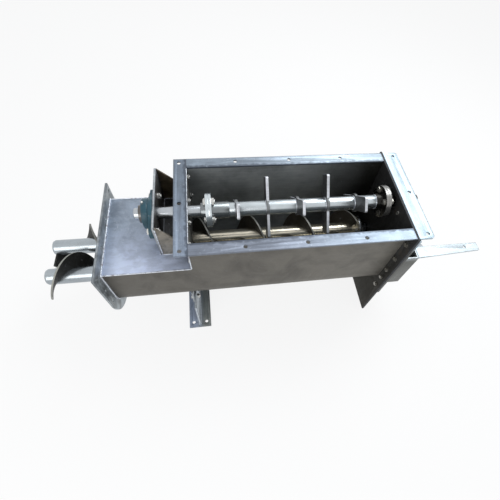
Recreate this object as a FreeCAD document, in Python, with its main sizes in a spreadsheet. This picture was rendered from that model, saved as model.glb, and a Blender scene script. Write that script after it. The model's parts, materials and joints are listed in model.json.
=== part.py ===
import FreeCAD, Part
import Sketcher
import math
import os

# Twin-screw feeder with an open inlet and a paddle agitator above the screws.
# Millimetres. X runs along the screws towards the drive, Y across, Z up.
# The origin is on the floor, in the middle plane, under the left saddle plate.

doc = FreeCAD.newDocument("feeder")
sheet = doc.addObject("Spreadsheet::Sheet", "sizes")

# Driving dimensions

sizes = {
    "screw_height": 280,  # screw axes above the floor
    "flight_radius": 86,  # outer radius of the screw flights
    "pipe_dia": 60.3,  # screw pipe
    "mesh_gap": 13.85,  # running gap between a flight and the pipe of the other screw
    "trough_gap": 10,  # gap between a flight and the trough
    "trough_wall": 5,  # sheet of the trough
    "inlet_start": 19,  # left edge of the inlet opening from the saddle plate
    "inlet_length": 748,  # length of the inlet opening
    "inlet_rise": 300,  # top of the inlet rim above the screw axes
    "rim_width": 44,  # width of a rim strip
    "rim_thick": 6,  # rim strips and hopper end wall
    "bolt_hole": 14,  # clearance hole for an M12 bolt
    "hole_pitch": 200,  # pitch of the rim holes
    "hole_margin": 25,  # rim hole line outside the trough wall
    "corner_hole": 25,  # left rim hole line, left of the inlet opening
    "tube_length": 296,  # covered part of the trough, left of the hopper
    "cover_rise": 150,  # top of the tube cover above the screw axes
    "cover_thick": 4,  # sheet of the tube cover
    "plate_thick": 8,  # end plates, flanges and bracket web
    "plate_margin": 47,  # end plates outside the trough
    "plate_bolt_edge": 30,  # end plate bolts from the edge of the plate
    "plate_bolt_top": 68,  # highest end plate bolts below the top of the rim
    "plate_bolt_low": 28,  # lowest ones above the lower edge of the drive plate
    "plate_bolt": 10,  # bolts of the end plates and of the screw couplings
    "band_width": 56,  # bent top flange of the drive plate
    "band_hole_edge": 19,  # hole line from the free edge of that flange
    "band_round": 10,  # its rounded corners
    "flange_margin": 49,  # discharge flange outside the trough radius
    "flange_rise": 42,  # top of the discharge flange above the tube cover
    "flange_bolt_edge": 20,  # side bolts of the discharge flange from its edge
    "flange_bolt_top": 22,  # top side bolt from the top of the flange
    "flange_bolt_low": 10,  # lowest side bolt above the screw axes
    "flange_bolt_under": 21,  # bottom bolts from the lower edge
    "sheet_thick": 6,  # welded sheet of the gear box, gussets and bracket ribs
    "gear_module": 5,  # timing gears
    "gear_width": 40,  # face width of the timing gears
    "gear_gap": 45,  # timing gears from the drive plate
    "gear_room": 20,  # gear box beyond the gears
    "gear_hub": 34,  # radius of the gear hubs
    "hub_step": 4,  # gear hub standing out of the teeth, on each side
    "box_margin": 4,  # gear box outside the trough
    "box_rise": 103,  # open top of the gear box above the screw axes
    "box_drop": 99,  # lower edge of the drive plate and gear box below the screw axes
    "arm_length": 275,  # torque arm beyond the gear box
    "arm_width": 50,  # torque arm at the gear box
    "arm_tip": 36,  # torque arm at its tip
    "arm_inset": 2,  # torque arm inside the edge of the gear box
    "arm_hole_edge": 60,  # hole of the torque arm from its tip
    "arm_hole_side": 17,  # the same hole from its straight rear edge
    "agitator_depth": 44,  # agitator axis below the top of the rim
    "shaft_dia": 40,  # drive shafts and agitator stub shaft
    "shaft_room": 4,  # radial room round a shaft in a wall
    "chamfer": 2,  # chamfered shaft ends
    "shaft_step": 1,  # step down of the driven shaft ends
    "stub_length": 75,  # agitator drive stub beyond the drive plate
    "input_length": 102,  # driven screw shaft beyond the gear box
    "idle_length": 40,  # other screw shaft beyond the gear box
    "bracket_length": 104,  # outer face of the bearing bracket from the hopper wall
    "bracket_front": 98,  # front edge of the bracket web
    "bracket_edge": 2,  # rear edge of the bracket web inside the trough side
    "rib_height": 50,  # bracket ribs at the hopper wall
    "bearing_pitch": 150,  # bolt pitch of the outer agitator bearing
    "bearing_thick": 14,  # its base
    "bearing_depth": 36,  # its housing
    "bearing_round": 42.5,  # radius of that housing
    "bearing_seat": 31,  # radius of its insert
    "bearing_ear": 23,  # radius of its two ears
    "bearing_foot": 9.5,  # its base outside the housing
    "stub_reach": 65,  # agitator stub shaft beyond the bracket
    "stub_hub": 16,  # hub of the coupling on the stub shaft
    "collar_width": 10,  # lock collar on the shaft, and the wall of that hub
    "mount_bolt": 12,  # bolts of the bearing, saddle and agitator couplings
    "small_bolt": 8,  # bolts of the drive bearing and the shaft gland
    "cartridge_pitch": 116,  # bolt pitch of the agitator drive bearing
    "cartridge_thick": 12,  # base of the cartridge bearings
    "cartridge_depth": 34,  # housing of the agitator drive bearing
    "cartridge_round": 31,  # radius of that housing
    "cartridge_foot": 3,  # its base outside the housing
    "cartridge_ear": 17,  # radius of its two ears
    "cartridge_gap": 13,  # screw bearings from the middle plane
    "screw_bearing_depth": 32,  # screw bearings on the drive plate
    "screw_boss": 36,  # radius of their bosses
    "panel_bearing_depth": 26,  # screw bearings on the gear box panel
    "step_gap": 3,  # step of a driven shaft beyond its bearing
    "gland_pitch": 96,  # bolt pitch of the shaft gland
    "gland_thick": 10,  # its flange
    "gland_depth": 30,  # its packing housing
    "gland_round": 30,  # radius of that housing
    "gland_foot": 4,  # its flange outside the housing
    "gland_ear": 13,  # radius of its two ears
    "disc_margin": 33,  # agitator coupling discs outside the tube radius
    "disc_thick": 10,  # all coupling discs
    "disc_bolt_edge": 16,  # agitator coupling bolts from the disc edge
    "disc_gap": 14,  # gap between the two screw coupling discs
    "hub_wall": 4,  # hub of a coupling round the tube
    "left_hub": 68,  # length of the hub at the left coupling
    "right_hub": 22,  # length of the hub at the right coupling
    "left_coupling_gap": 59,  # left agitator coupling from the inlet edge
    "right_coupling_gap": 54,  # right agitator coupling from the end plate
    "tube_dia": 50,  # agitator tube
    "tube_wall": 6,  # its wall
    "paddle_left": 163,  # first paddle from the left edge of the inlet
    "paddle_right": 153,  # last paddle from the right edge of the inlet
    "paddle_reach": 105,  # paddle tip radius
    "paddle_width": 52,  # paddle bar
    "paddle_thick": 10,  # its thickness
    "paddle_round": 8,  # rounded paddle corners
    "paddle_eye": 8,  # wall of the eye round the tube
    "nose_length": 9,  # rounded left ends of the screw pipes
    "nose_step": 3,
    "screw_pitch": 208,  # both screws
    "flight_thick": 6,
    "front_pipe_reach": 239,  # screw pipes beyond the discharge flange
    "rear_pipe_reach": 234,  # the rear pipe ends short of the front one
    "front_flight_reach": 226,  # flights beyond the discharge flange
    "rear_flight_reach": 224,  # the rear flight ends short of the front one
    "front_flight_angle": 204,  # where the flights end, from the rear side over the top
    "rear_flight_angle": 178,  # the same for the rear flight
    "flight_end_gap": 9,  # right end of the flights from the screw couplings
    "screw_coupling_gap": 61,  # screw couplings from the end plate
    "foot_thick": 8,  # foot and saddle plates
    "foot_margin": 9,  # foot plate outside the end plates
    "foot_width": 94,  # foot plate along the screws
    "foot_bolt_pitch": 56,  # its bolts along the screws
    "foot_bolt_edge": 24,  # its bolts from its ends
    "saddle_drop": 80,  # top edge of the saddle plate below the screw axes
    "lug_offset": 73,  # saddle bolts from the screw axes, sideways
    "lug_drop": 125,  # saddle bolts below the screw axes
    "lug_half": 26,  # half width of a saddle lug
    "lug_rise": 80,  # top of a lug above its bolt, before the seat is cut
    "saddle_gap": 0.1,  # saddle seat outside the trough
    "clearance": 0.05,  # radial running clearance
}
for row, (alias, number) in enumerate(sizes.items(), start=1):
    sheet.set("A%d" % row, alias)
    sheet.set("B%d" % row, str(number))
    sheet.setAlias("B%d" % row, alias)
doc.recompute()

# Places worked out from the driving dimensions, as expressions. One may use another with @.

named = {
    "shaft_radius": "(sizes.shaft_dia / 2)",
    "pipe_radius": "(sizes.pipe_dia / 2)",
    "tube_radius": "(sizes.tube_dia / 2)",
    "hole_radius": "(sizes.bolt_hole / 2)",
    "screw_gap": "(sizes.flight_radius + @pipe_radius + sizes.mesh_gap)",
    "side": "(@screw_gap / 2)",
    "trough_radius": "(sizes.flight_radius + sizes.trough_gap)",
    "shell_radius": "(@trough_radius + sizes.trough_wall)",
    "wall_in": "(@side + @trough_radius)",
    "wall_out": "(@side + @shell_radius)",
    "wall_left": "(sizes.inlet_start - sizes.rim_thick)",
    "tube_left": "(@wall_left - sizes.tube_length)",
    "flange_face": "(@tube_left - sizes.plate_thick)",
    "plate_start": "(sizes.inlet_start + sizes.inlet_length)",
    "drive_start": "(@plate_start + sizes.plate_thick)",
    "drive_end": "(@drive_start + sizes.plate_thick)",
    "box_length": "(sizes.gear_gap + sizes.gear_width + sizes.gear_room)",
    "box_end": "(@drive_end + @box_length)",
    "bracket_face": "(@wall_left - sizes.bracket_length)",
    "inlet_top": "(sizes.screw_height + sizes.inlet_rise)",
    "rim_under": "(@inlet_top - sizes.rim_thick)",
    "band_under": "(@inlet_top - sizes.plate_thick)",
    "agitator_axis": "(@inlet_top - sizes.agitator_depth)",
    "cover_top": "(sizes.screw_height + sizes.cover_rise)",
    "cover_under": "(@cover_top - sizes.cover_thick)",
    "flange_top": "(@cover_top + sizes.flange_rise)",
    "box_top": "(sizes.screw_height + sizes.box_rise)",
    "box_low": "(sizes.screw_height - sizes.box_drop)",
    "saddle_top": "(sizes.screw_height - sizes.saddle_drop)",
    "lug_level": "(sizes.screw_height - sizes.lug_drop)",
    "lug_side": "(@side + sizes.lug_offset)",
    "rim_left": "(sizes.inlet_start - sizes.rim_width)",
    "rim_out": "(@wall_in + sizes.rim_width)",
    "hole_line": "(@wall_in + sizes.hole_margin)",
    "left_holes": "(sizes.inlet_start - sizes.corner_hole)",
    "plate_half": "(@wall_out + sizes.plate_margin)",
    "bolt_wall": "(@plate_half - sizes.plate_bolt_edge)",
    "box_half": "(@wall_out + sizes.box_margin)",
    "bracket_rear": "(@wall_out - sizes.bracket_edge)",
    "flange_radius": "(@trough_radius + sizes.flange_margin)",
    "flange_half": "(@side + @flange_radius)",
    "foot_half": "(@plate_half + sizes.foot_margin)",
    "disc_radius": "(@tube_radius + sizes.disc_margin)",
    "disc_bolts": "(@disc_radius - sizes.disc_bolt_edge)",
    "hub_radius": "(@tube_radius + sizes.hub_wall)",
    "screw_disc": "(@side - sizes.disc_gap / 2)",
    "screw_bolts": "((@screw_disc + @pipe_radius) / 2)",
    "left_coupling": "(sizes.inlet_start + sizes.left_coupling_gap)",
    "right_coupling": "(@plate_start - sizes.right_coupling_gap)",
    "screw_coupling": "(@plate_start - sizes.screw_coupling_gap)",
    "paddle_first": "(sizes.inlet_start + sizes.paddle_left)",
    "paddle_last": "(@plate_start - sizes.paddle_right)",
    "plate_bolt_hole": "(sizes.plate_bolt / 2 + 0.2)",
    "mount_hole": "(sizes.mount_bolt / 2 + 0.2)",
    "small_hole": "(sizes.small_bolt / 2 + 0.2)",
}


def expand(text):
    while "@" in text:
        for name in sorted(named, key=len, reverse=True):
            text = text.replace("@" + name, named[name])
    return text


def value(text):
    return float(sheet.evalExpression(expand(text)))


def bind(obj, prop, text):
    obj.setExpression(prop, expand(text))


# Modelling helpers

def newBody(label):
    body = doc.addObject("PartDesign::Body", label)
    body.Label = label
    nodes.append(body)
    return body


def originFeature(body, role):
    for item in body.Origin.OriginFeatures:
        if item.Role == role:
            return item


def sketchOn(body, role, offset):
    sketch = body.newObject("Sketcher::SketchObject", body.Label + "_sketch")
    sketch.AttachmentSupport = [(originFeature(body, role), "")]
    sketch.MapMode = "FlatFace"
    bind(sketch, "AttachmentOffset.Base.z", offset)
    return sketch


def fixPoint(sketch, edge, point, across, up):
    for kind, text, axis in (("DistanceX", across, -2), ("DistanceY", up, -1)):
        if abs(value(text)) < 1e-9:
            sketch.addConstraint(Sketcher.Constraint("PointOnObject", edge, point, axis))
        else:
            row = sketch.addConstraint(Sketcher.Constraint(kind, -1, 1, edge, point, value(text)))
            bind(sketch, "Constraints[%d]" % row, text)


def polygon(sketch, corners):
    first = sketch.GeometryCount
    spots = [FreeCAD.Vector(value(across), value(up), 0) for across, up in corners]
    for index, spot in enumerate(spots):
        sketch.addGeometry(Part.LineSegment(spot, spots[(index + 1) % len(spots)]))
    for index in range(len(spots)):
        following = first + (index + 1) % len(spots)
        sketch.addConstraint(Sketcher.Constraint("Coincident", first + index, 2, following, 1))
    for index, (across, up) in enumerate(corners):
        fixPoint(sketch, first + index, 1, across, up)


def rectangle(sketch, left, right, low, high):
    polygon(sketch, [(left, low), (right, low), (right, high), (left, high)])


def circle(sketch, across, up, radius):
    centre = FreeCAD.Vector(value(across), value(up), 0)
    edge = sketch.addGeometry(Part.Circle(centre, FreeCAD.Vector(0, 0, 1), value(radius)))
    fixPoint(sketch, edge, 3, across, up)
    row = sketch.addConstraint(Sketcher.Constraint("Radius", edge, value(radius)))
    bind(sketch, "Constraints[%d]" % row, radius)


def pad(body, sketch, length):
    feature = body.newObject("PartDesign::Pad", body.Label + "_pad")
    feature.Profile = sketch
    bind(feature, "Length", length)
    sketch.Visibility = False
    return feature


def cutThrough(body, sketch):
    feature = body.newObject("PartDesign::Pocket", body.Label + "_cut")
    feature.Profile = sketch
    feature.Type = "ThroughAll"
    feature.SideType = "Symmetric"
    return feature


def cutDown(body, sketch, depth):
    feature = body.newObject("PartDesign::Pocket", body.Label + "_recess")
    feature.Profile = sketch
    bind(feature, "Length", depth)
    return feature


def padCircle(body, role, offset, across, up, radius, length):
    sketch = sketchOn(body, role, offset)
    circle(sketch, across, up, radius)
    return pad(body, sketch, length)


def drill(body, role, offset, holes):
    sketch = sketchOn(body, role, offset)
    for across, up, radius in holes:
        circle(sketch, across, up, radius)
    return cutThrough(body, sketch)


# A flat plate. Role and offset give its plane, holes are (across, up, radius).

def plate(label, role, offset, thick, corners, holes=()):
    body = newBody(label)
    sketch = sketchOn(body, role, offset)
    polygon(sketch, corners)
    pad(body, sketch, thick)
    if holes:
        drill(body, role, offset, holes)
    return body


def boxCorners(left, right, low, high):
    return [(left, low), (right, low), (right, high), (left, high)]


def filletEdges(body, radius, wanted):
    doc.recompute()
    tip = body.Tip
    names = []
    for index, edge in enumerate(tip.Shape.Edges):
        if len(edge.Vertexes) == 2 and wanted(edge.Vertexes[0].Point, edge.Vertexes[1].Point):
            names.append("Edge%d" % (index + 1))
    fillet = body.newObject("PartDesign::Fillet", body.Label + "_fillet")
    fillet.Base = (tip, names)
    bind(fillet, "Radius", radius)


# A piece turned about its own X axis. Profile points are (along, radius).

def turned(label, profile, along="0", across="0", up="0"):
    body = newBody(label)
    sketch = sketchOn(body, "XZ_Plane", "0")
    polygon(sketch, profile)
    feature = body.newObject("PartDesign::Revolution", label + "_turn")
    feature.Profile = sketch
    feature.ReferenceAxis = (originFeature(body, "X_Axis"), [""])
    feature.Angle = 360
    place(body, along, across, up)
    return body


def place(body, along, across, up):
    bind(body, "Placement.Base.x", along)
    bind(body, "Placement.Base.y", across)
    bind(body, "Placement.Base.z", up)


def ring(start, end, inner, outer):
    return [(start, inner), (end, inner), (end, outer), (start, outer)]


# A group of like bolts along X, each a head, a shank and a nut in one piece

def lieAlongX(obj, along, across, up):
    obj.Placement = FreeCAD.Placement(FreeCAD.Vector(), FreeCAD.Rotation(FreeCAD.Vector(0, 1, 0), 90))
    place(obj, along, across, up)


# Bolt proportions, as shares of the bolt diameter
head_corner, head_rise, nut_rise = 0.98, 0.65, 0.8


def hexagon(start, across, up, dia, height):
    prism = doc.addObject("Part::Prism", "hexagon")
    prism.Polygon = 6
    bind(prism, "Circumradius", "(%s) * %s" % (dia, head_corner))
    bind(prism, "Height", height)
    lieAlongX(prism, start, across, up)
    return prism


def boltGroup(label, places, head_face, nut_face, dia):
    bolts = []
    head_high, nut_high = "(%s) * %s" % (dia, head_rise), "(%s) * %s" % (dia, nut_rise)
    for across, up in places:
        head = hexagon("(%s) - (%s)" % (head_face, head_high), across, up, dia, head_high)
        nut = hexagon(nut_face, across, up, dia, nut_high)
        shank = doc.addObject("Part::Cylinder", "shank")
        bind(shank, "Radius", "(%s) / 2" % dia)
        bind(shank, "Height", "(%s) - (%s) + (%s) + (%s)" % (nut_face, head_face, head_high, dia))
        lieAlongX(shank, "(%s) - (%s)" % (head_face, head_high), across, up)
        bolt = doc.addObject("Part::MultiFuse", "bolt")
        bolt.Shapes = [head, shank, nut]
        bolts.append(bolt)
    group = doc.addObject("Part::Compound", label)
    group.Label = label
    group.Links = bolts
    nodes.append(group)


def onCircle(radius, count, first, across="0", up="0"):
    spots = []
    for index in range(count):
        angle = math.radians(first + 360 * index / count)
        spots.append(("%s + (%s) * %.6f" % (across, radius, math.cos(angle)),
                      "%s + (%s) * %.6f" % (up, radius, math.sin(angle))))
    return spots


nodes = []
fronts = (("front", "-@side"), ("rear", "@side"))
sides = ("-@side", "@side")


# Trough: two round barrels side by side, open at the top, with straight walls

def makeTrough():
    body = newBody("trough_shell")
    length = "@plate_start - @tube_left"
    for side in sides:
        padCircle(body, "YZ_Plane", "@tube_left", side, "sizes.screw_height", "@shell_radius", length)
    tube = sketchOn(body, "YZ_Plane", "@tube_left")
    rectangle(tube, "-@wall_out", "@wall_out", "sizes.screw_height", "@cover_under")
    pad(body, tube, "@wall_left - @tube_left")
    hopper = sketchOn(body, "YZ_Plane", "@wall_left")
    rectangle(hopper, "-@wall_out", "@wall_out", "sizes.screw_height", "@rim_under")
    pad(body, hopper, "@plate_start - @wall_left")
    for side in sides:
        drill(body, "YZ_Plane", "@tube_left", [(side, "sizes.screw_height", "@trough_radius")])
    inside = sketchOn(body, "YZ_Plane", "@tube_left")
    rectangle(inside, "-@wall_in", "@wall_in", "sizes.screw_height", "@inlet_top")
    cutThrough(body, inside)


def makeCover():
    plate("tube_cover", "XY_Plane", "@cover_under", "sizes.cover_thick",
          boxCorners("@tube_left", "@wall_left", "-@wall_out", "@wall_out"))


def makeDischargeFlange():
    body = newBody("discharge_flange")
    start = "@tube_left - sizes.plate_thick"
    for side in sides:
        padCircle(body, "YZ_Plane", start, side, "sizes.screw_height", "@flange_radius", "sizes.plate_thick")
    upper = sketchOn(body, "YZ_Plane", start)
    rectangle(upper, "-@flange_half", "@flange_half", "sizes.screw_height", "@flange_top")
    pad(body, upper, "sizes.plate_thick")
    lower = sketchOn(body, "YZ_Plane", start)
    rectangle(lower, "-@side", "@side", "sizes.screw_height - @flange_radius", "sizes.screw_height")
    pad(body, lower, "sizes.plate_thick")
    for side in sides:
        drill(body, "YZ_Plane", start, [(side, "sizes.screw_height", "@trough_radius")])
    passage = sketchOn(body, "YZ_Plane", start)
    rectangle(passage, "-@wall_in", "@wall_in", "sizes.screw_height", "@cover_under")
    cutThrough(body, passage)
    holes = []
    low, top = "(sizes.screw_height + sizes.flange_bolt_low)", "(@flange_top - sizes.flange_bolt_top)"
    for way in ("-", ""):
        for step in range(3):
            level = "%s + (%s - %s) * %d / 2" % (low, top, low, step)
            holes.append((way + "(@flange_half - sizes.flange_bolt_edge)", level, "@hole_radius"))
        holes.append((way + "@side", "(@cover_under + @flange_top) / 2", "@hole_radius"))
        under = "sizes.screw_height - @flange_radius + sizes.flange_bolt_under"
        holes.append((way + "@side", under, "@hole_radius"))
    drill(body, "YZ_Plane", start, holes)


def makeEndWall():
    holes = [("0", "@agitator_axis", "@shaft_radius + sizes.shaft_room")]
    holes += [(way + "sizes.gland_pitch / 2", "@agitator_axis", "@small_hole") for way in ("-", "")]
    plate("hopper_end_wall", "YZ_Plane", "@wall_left", "sizes.rim_thick",
          boxCorners("-@wall_in", "@wall_in", "@cover_under", "@rim_under"), holes)


# Inlet rim: a full-width left strip, with the front and rear strips butted to it

def makeRim():
    left = [("@left_holes", "0", "@hole_radius")]
    for way in ("-", ""):
        left.append(("@left_holes", way + "@hole_line", "@hole_radius"))
    plate("inlet_rim_left", "XY_Plane", "@rim_under", "sizes.rim_thick",
          boxCorners("@rim_left", "sizes.inlet_start", "-@rim_out", "@rim_out"), left)
    room = "@plate_start - @left_holes - sizes.bolt_hole"
    count = int(value(room) / value("sizes.hole_pitch"))
    for name, way in (("front", "-"), ("rear", "")):
        holes = []
        for step in range(1, count + 1):
            holes.append(("@left_holes + %d * sizes.hole_pitch" % step, way + "@hole_line", "@hole_radius"))
        inner, outer = way + "@wall_in", way + "@rim_out"
        low, high = (outer, inner) if way else (inner, outer)
        plate("inlet_rim_" + name, "XY_Plane", "@rim_under", "sizes.rim_thick",
              boxCorners("sizes.inlet_start", "@plate_start", low, high), holes)


# The two end plates, bolted face to face. The bolts stand closer together towards the bottom.

bolt_line_shares = (0, 0.32, 0.59, 0.79, 1)


def plateBoltPlaces():
    top, low = "(@inlet_top - sizes.plate_bolt_top)", "(@box_low + sizes.plate_bolt_low)"
    places = []
    for way in ("-", ""):
        for share in bolt_line_shares:
            places.append((way + "@bolt_wall", "%s - (%s - %s) * %s" % (top, top, low, share)))
    return places


def endPlateHoles():
    holes = [(across, up, "@plate_bolt_hole") for across, up in plateBoltPlaces()]
    for side in sides:
        holes.append((side, "sizes.screw_height", "@shaft_radius + sizes.shaft_room"))
    holes.append(("0", "@agitator_axis", "@shaft_radius + sizes.shaft_room / 2"))
    for way in ("-", ""):
        holes.append((way + "sizes.cartridge_pitch / 2", "@agitator_axis", "@small_hole"))
    return holes


def makeEndPlates():
    plate("end_plate", "YZ_Plane", "@plate_start", "sizes.plate_thick",
          boxCorners("-@plate_half", "@plate_half", "0", "@inlet_top"), endPlateHoles())
    body = plate("drive_plate", "YZ_Plane", "@drive_start", "sizes.plate_thick",
                 boxCorners("-@plate_half", "@plate_half", "@box_low", "@band_under"), endPlateHoles())
    band = sketchOn(body, "XY_Plane", "@band_under")
    rectangle(band, "@drive_start", "@drive_start + sizes.band_width", "-@rim_out", "@rim_out")
    pad(body, band, "sizes.plate_thick")
    holes = []
    for across in ("-@hole_line", "0", "@hole_line"):
        holes.append(("@drive_start + sizes.band_width - sizes.band_hole_edge", across, "@hole_radius"))
    drill(body, "XY_Plane", "@band_under", holes)
    far = value("@drive_start + sizes.band_width")
    filletEdges(body, "sizes.band_round",
                lambda a, b: abs(a.x - far) < 1 and abs(b.x - far) < 1 and abs(a.z - b.z) > 1)
    boltGroup("plate_bolts", plateBoltPlaces(), "@plate_start", "@drive_end", "sizes.plate_bolt")


# Gear box: a welded tray with an open top on the drive plate, and the torque arm on its end

def makeGearBox():
    body = newBody("gear_box")
    outer = sketchOn(body, "YZ_Plane", "@drive_end")
    rectangle(outer, "-@box_half", "@box_half", "@box_low", "@box_top")
    pad(body, outer, "@box_length")
    inner = sketchOn(body, "XY_Plane", "@box_top")
    rectangle(inner, "@drive_start", "@box_end - sizes.sheet_thick",
              "-@box_half + sizes.sheet_thick", "@box_half - sizes.sheet_thick")
    cutDown(body, inner, "@box_top - @box_low - sizes.sheet_thick")
    drill(body, "YZ_Plane", "@box_end - sizes.sheet_thick / 2",
          [(side, "sizes.screw_height", "@shaft_radius + sizes.shaft_room") for side in sides])


def makeTorqueArm():
    tip = "@box_end + sizes.arm_length"
    front = "-@box_half + sizes.arm_inset"
    rear = front + " + sizes.arm_width"
    corners = [("@box_end", front), (tip, rear + " - sizes.arm_tip"), (tip, rear), ("@box_end", rear)]
    hole = (tip + " - sizes.arm_hole_edge", rear + " - sizes.arm_hole_side", "@hole_radius")
    plate("torque_arm", "XY_Plane", "@box_top - sizes.plate_thick", "sizes.plate_thick", corners, [hole])


# Bearing bracket on the tube cover: a web and two sloping ribs

def makeBracket():
    web_right = "@bracket_face + sizes.plate_thick"
    holes = [("0", "@agitator_axis", "@shaft_radius + sizes.shaft_room")]
    for way in ("-", ""):
        holes.append((way + "sizes.bearing_pitch / 2", "@agitator_axis", "@mount_hole"))
    plate("bracket_web", "YZ_Plane", "@bracket_face", "sizes.plate_thick",
          boxCorners("-sizes.bracket_front", "@bracket_rear", "@cover_top", "@inlet_top"), holes)
    slope = [(web_right, "@cover_top"), ("@wall_left", "@cover_top"),
             ("@wall_left", "@cover_top + sizes.rib_height"), (web_right, "@inlet_top")]
    front = "sizes.bracket_front - sizes.sheet_thick"
    plate("bracket_rib_front", "XZ_Plane", front, "sizes.sheet_thick", slope)
    plate("bracket_rib_rear", "XZ_Plane", "-@bracket_rear", "sizes.sheet_thick", slope)


# A flange with two ears across, wider in the middle: a round middle, two ears and a web between

def eared(body, start, thick, pitch, ear, middle):
    far = "(%s) / 2" % pitch
    padCircle(body, "YZ_Plane", start, "0", "0", middle, thick)
    web = sketchOn(body, "YZ_Plane", start)
    near, rise = "(%s) * 0.56" % middle, "(%s) * 0.82" % middle
    polygon(web, [("-" + far, "-" + ear), ("-" + near, "-" + rise), (near, "-" + rise), (far, "-" + ear),
                  (far, ear), (near, rise), ("-" + near, rise), ("-" + far, ear)])
    pad(body, web, thick)
    for across in ("-" + far, far):
        padCircle(body, "YZ_Plane", start, across, "0", ear, thick)


def makeOuterBearing():
    body = newBody("agitator_bearing")
    ear = "sizes.bearing_pitch / 2"
    eared(body, "-sizes.bearing_thick", "sizes.bearing_thick", "sizes.bearing_pitch", "sizes.bearing_ear",
          "sizes.bearing_round + sizes.bearing_foot")
    padCircle(body, "YZ_Plane", "-sizes.bearing_depth", "0", "0", "sizes.bearing_round", "sizes.bearing_depth")
    drill(body, "YZ_Plane", "-sizes.bearing_thick", [("0", "0", "sizes.bearing_seat + sizes.clearance")])
    drill(body, "YZ_Plane", "-sizes.bearing_thick",
          [("-" + ear, "0", "@mount_hole"), (ear, "0", "@mount_hole")])
    place(body, "@bracket_face", "0", "@agitator_axis")
    places = [("-" + ear, "@agitator_axis"), (ear, "@agitator_axis")]
    boltGroup("agitator_bearing_bolts", places, "@bracket_face - sizes.bearing_thick",
              "@bracket_face + sizes.plate_thick", "sizes.mount_bolt")


def makeDriveBearing():
    body = newBody("agitator_drive_bearing")
    ear = "sizes.cartridge_pitch / 2"
    eared(body, "0", "sizes.cartridge_thick", "sizes.cartridge_pitch", "sizes.cartridge_ear",
          "sizes.cartridge_round + sizes.cartridge_foot")
    padCircle(body, "YZ_Plane", "0", "0", "0", "sizes.cartridge_round", "sizes.cartridge_depth")
    drill(body, "YZ_Plane", "0", [("0", "0", "@shaft_radius + sizes.clearance")])
    drill(body, "YZ_Plane", "0", [("-" + ear, "0", "@small_hole"), (ear, "0", "@small_hole")])
    place(body, "@drive_end", "0", "@agitator_axis")
    places = [("-" + ear, "@agitator_axis"), (ear, "@agitator_axis")]
    boltGroup("agitator_drive_bolts", places, "@plate_start", "@drive_end + sizes.cartridge_thick",
              "sizes.small_bolt")


# Round bearing cartridges of the screw shafts, on the drive plate and on the gear box panel

def cartridge(depth, foot, boss):
    bore = "@shaft_radius + sizes.clearance"
    taper = "(%s + sizes.hub_wall)" % boss
    return [("0", bore), (depth, bore), (depth, boss), ("sizes.cartridge_thick", taper),
            ("sizes.cartridge_thick", foot), ("0", foot)]


def makeScrewBearings():
    inner_foot = "(@side - sizes.cartridge_gap)"
    outer_foot = "(@side - sizes.cartridge_gap - sizes.hub_wall)"
    for name, side in fronts:
        inner = cartridge("sizes.screw_bearing_depth", inner_foot, "sizes.screw_boss")
        outer = cartridge("sizes.panel_bearing_depth", outer_foot, "sizes.gear_hub")
        turned("screw_bearing_" + name, inner, "@drive_end", side, "sizes.screw_height")
        turned("panel_bearing_" + name, outer, "@box_end", side, "sizes.screw_height")


def makeGland():
    body = newBody("shaft_gland")
    ear = "sizes.gland_pitch / 2"
    eared(body, "-sizes.gland_thick", "sizes.gland_thick", "sizes.gland_pitch", "sizes.gland_ear",
          "sizes.gland_round + sizes.gland_foot")
    padCircle(body, "YZ_Plane", "-sizes.gland_depth", "0", "0", "sizes.gland_round", "sizes.gland_depth")
    drill(body, "YZ_Plane", "-sizes.gland_thick", [("0", "0", "@shaft_radius + sizes.clearance")])
    drill(body, "YZ_Plane", "-sizes.gland_thick", [("-" + ear, "0", "@small_hole"), (ear, "0", "@small_hole")])
    place(body, "@wall_left", "0", "@agitator_axis")
    places = [("-" + ear, "@agitator_axis"), (ear, "@agitator_axis")]
    boltGroup("gland_bolts", places, "@wall_left - sizes.gland_thick", "sizes.inlet_start", "sizes.small_bolt")


# Left support: foot plate, saddle plate and two bolted lugs

def makeSupport():
    half = "sizes.foot_width / 2"
    holes = []
    for along in ("-", ""):
        for across in ("-", ""):
            holes.append((along + "sizes.foot_bolt_pitch / 2",
                          across + "(@foot_half - sizes.foot_bolt_edge)", "@hole_radius"))
    plate("foot_plate", "XY_Plane", "0", "sizes.foot_thick",
          boxCorners("-" + half, half, "-@foot_half", "@foot_half"), holes)
    start = "-sizes.foot_thick / 2"
    body = plate("saddle_plate", "YZ_Plane", start, "sizes.foot_thick",
                 boxCorners("-@plate_half", "@plate_half", "sizes.foot_thick", "@saddle_top"))
    for side in sides:
        drill(body, "YZ_Plane", start, [(side, "sizes.screw_height", "@shell_radius + sizes.saddle_gap")])
    bolts = [("-@lug_side", "@lug_level"), ("@lug_side", "@lug_level")]
    drill(body, "YZ_Plane", start, [(across, up, "@mount_hole") for across, up in bolts])
    for name, way in (("front", "-"), ("rear", "")):
        makeLug(name, way)
    boltGroup("saddle_bolts", bolts, "-1.5 * sizes.foot_thick", "sizes.foot_thick / 2", "sizes.mount_bolt")


def makeLug(name, way):
    body = newBody("saddle_lug_" + name)
    start = "-1.5 * sizes.foot_thick"
    middle = way + "@lug_side"
    padCircle(body, "YZ_Plane", start, middle, "@lug_level", "sizes.lug_half", "sizes.foot_thick")
    upper = sketchOn(body, "YZ_Plane", start)
    rectangle(upper, middle + " - sizes.lug_half", middle + " + sizes.lug_half",
              "@lug_level", "@lug_level + sizes.lug_rise")
    pad(body, upper, "sizes.foot_thick")
    seat = "@shell_radius + sizes.saddle_gap"
    drill(body, "YZ_Plane", start, [(way + "@side", "sizes.screw_height", seat)])
    drill(body, "YZ_Plane", start, [(middle, "@lug_level", "@mount_hole")])


# Agitator: stub shaft, bolted disc couplings, tube and five crossed paddles

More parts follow.
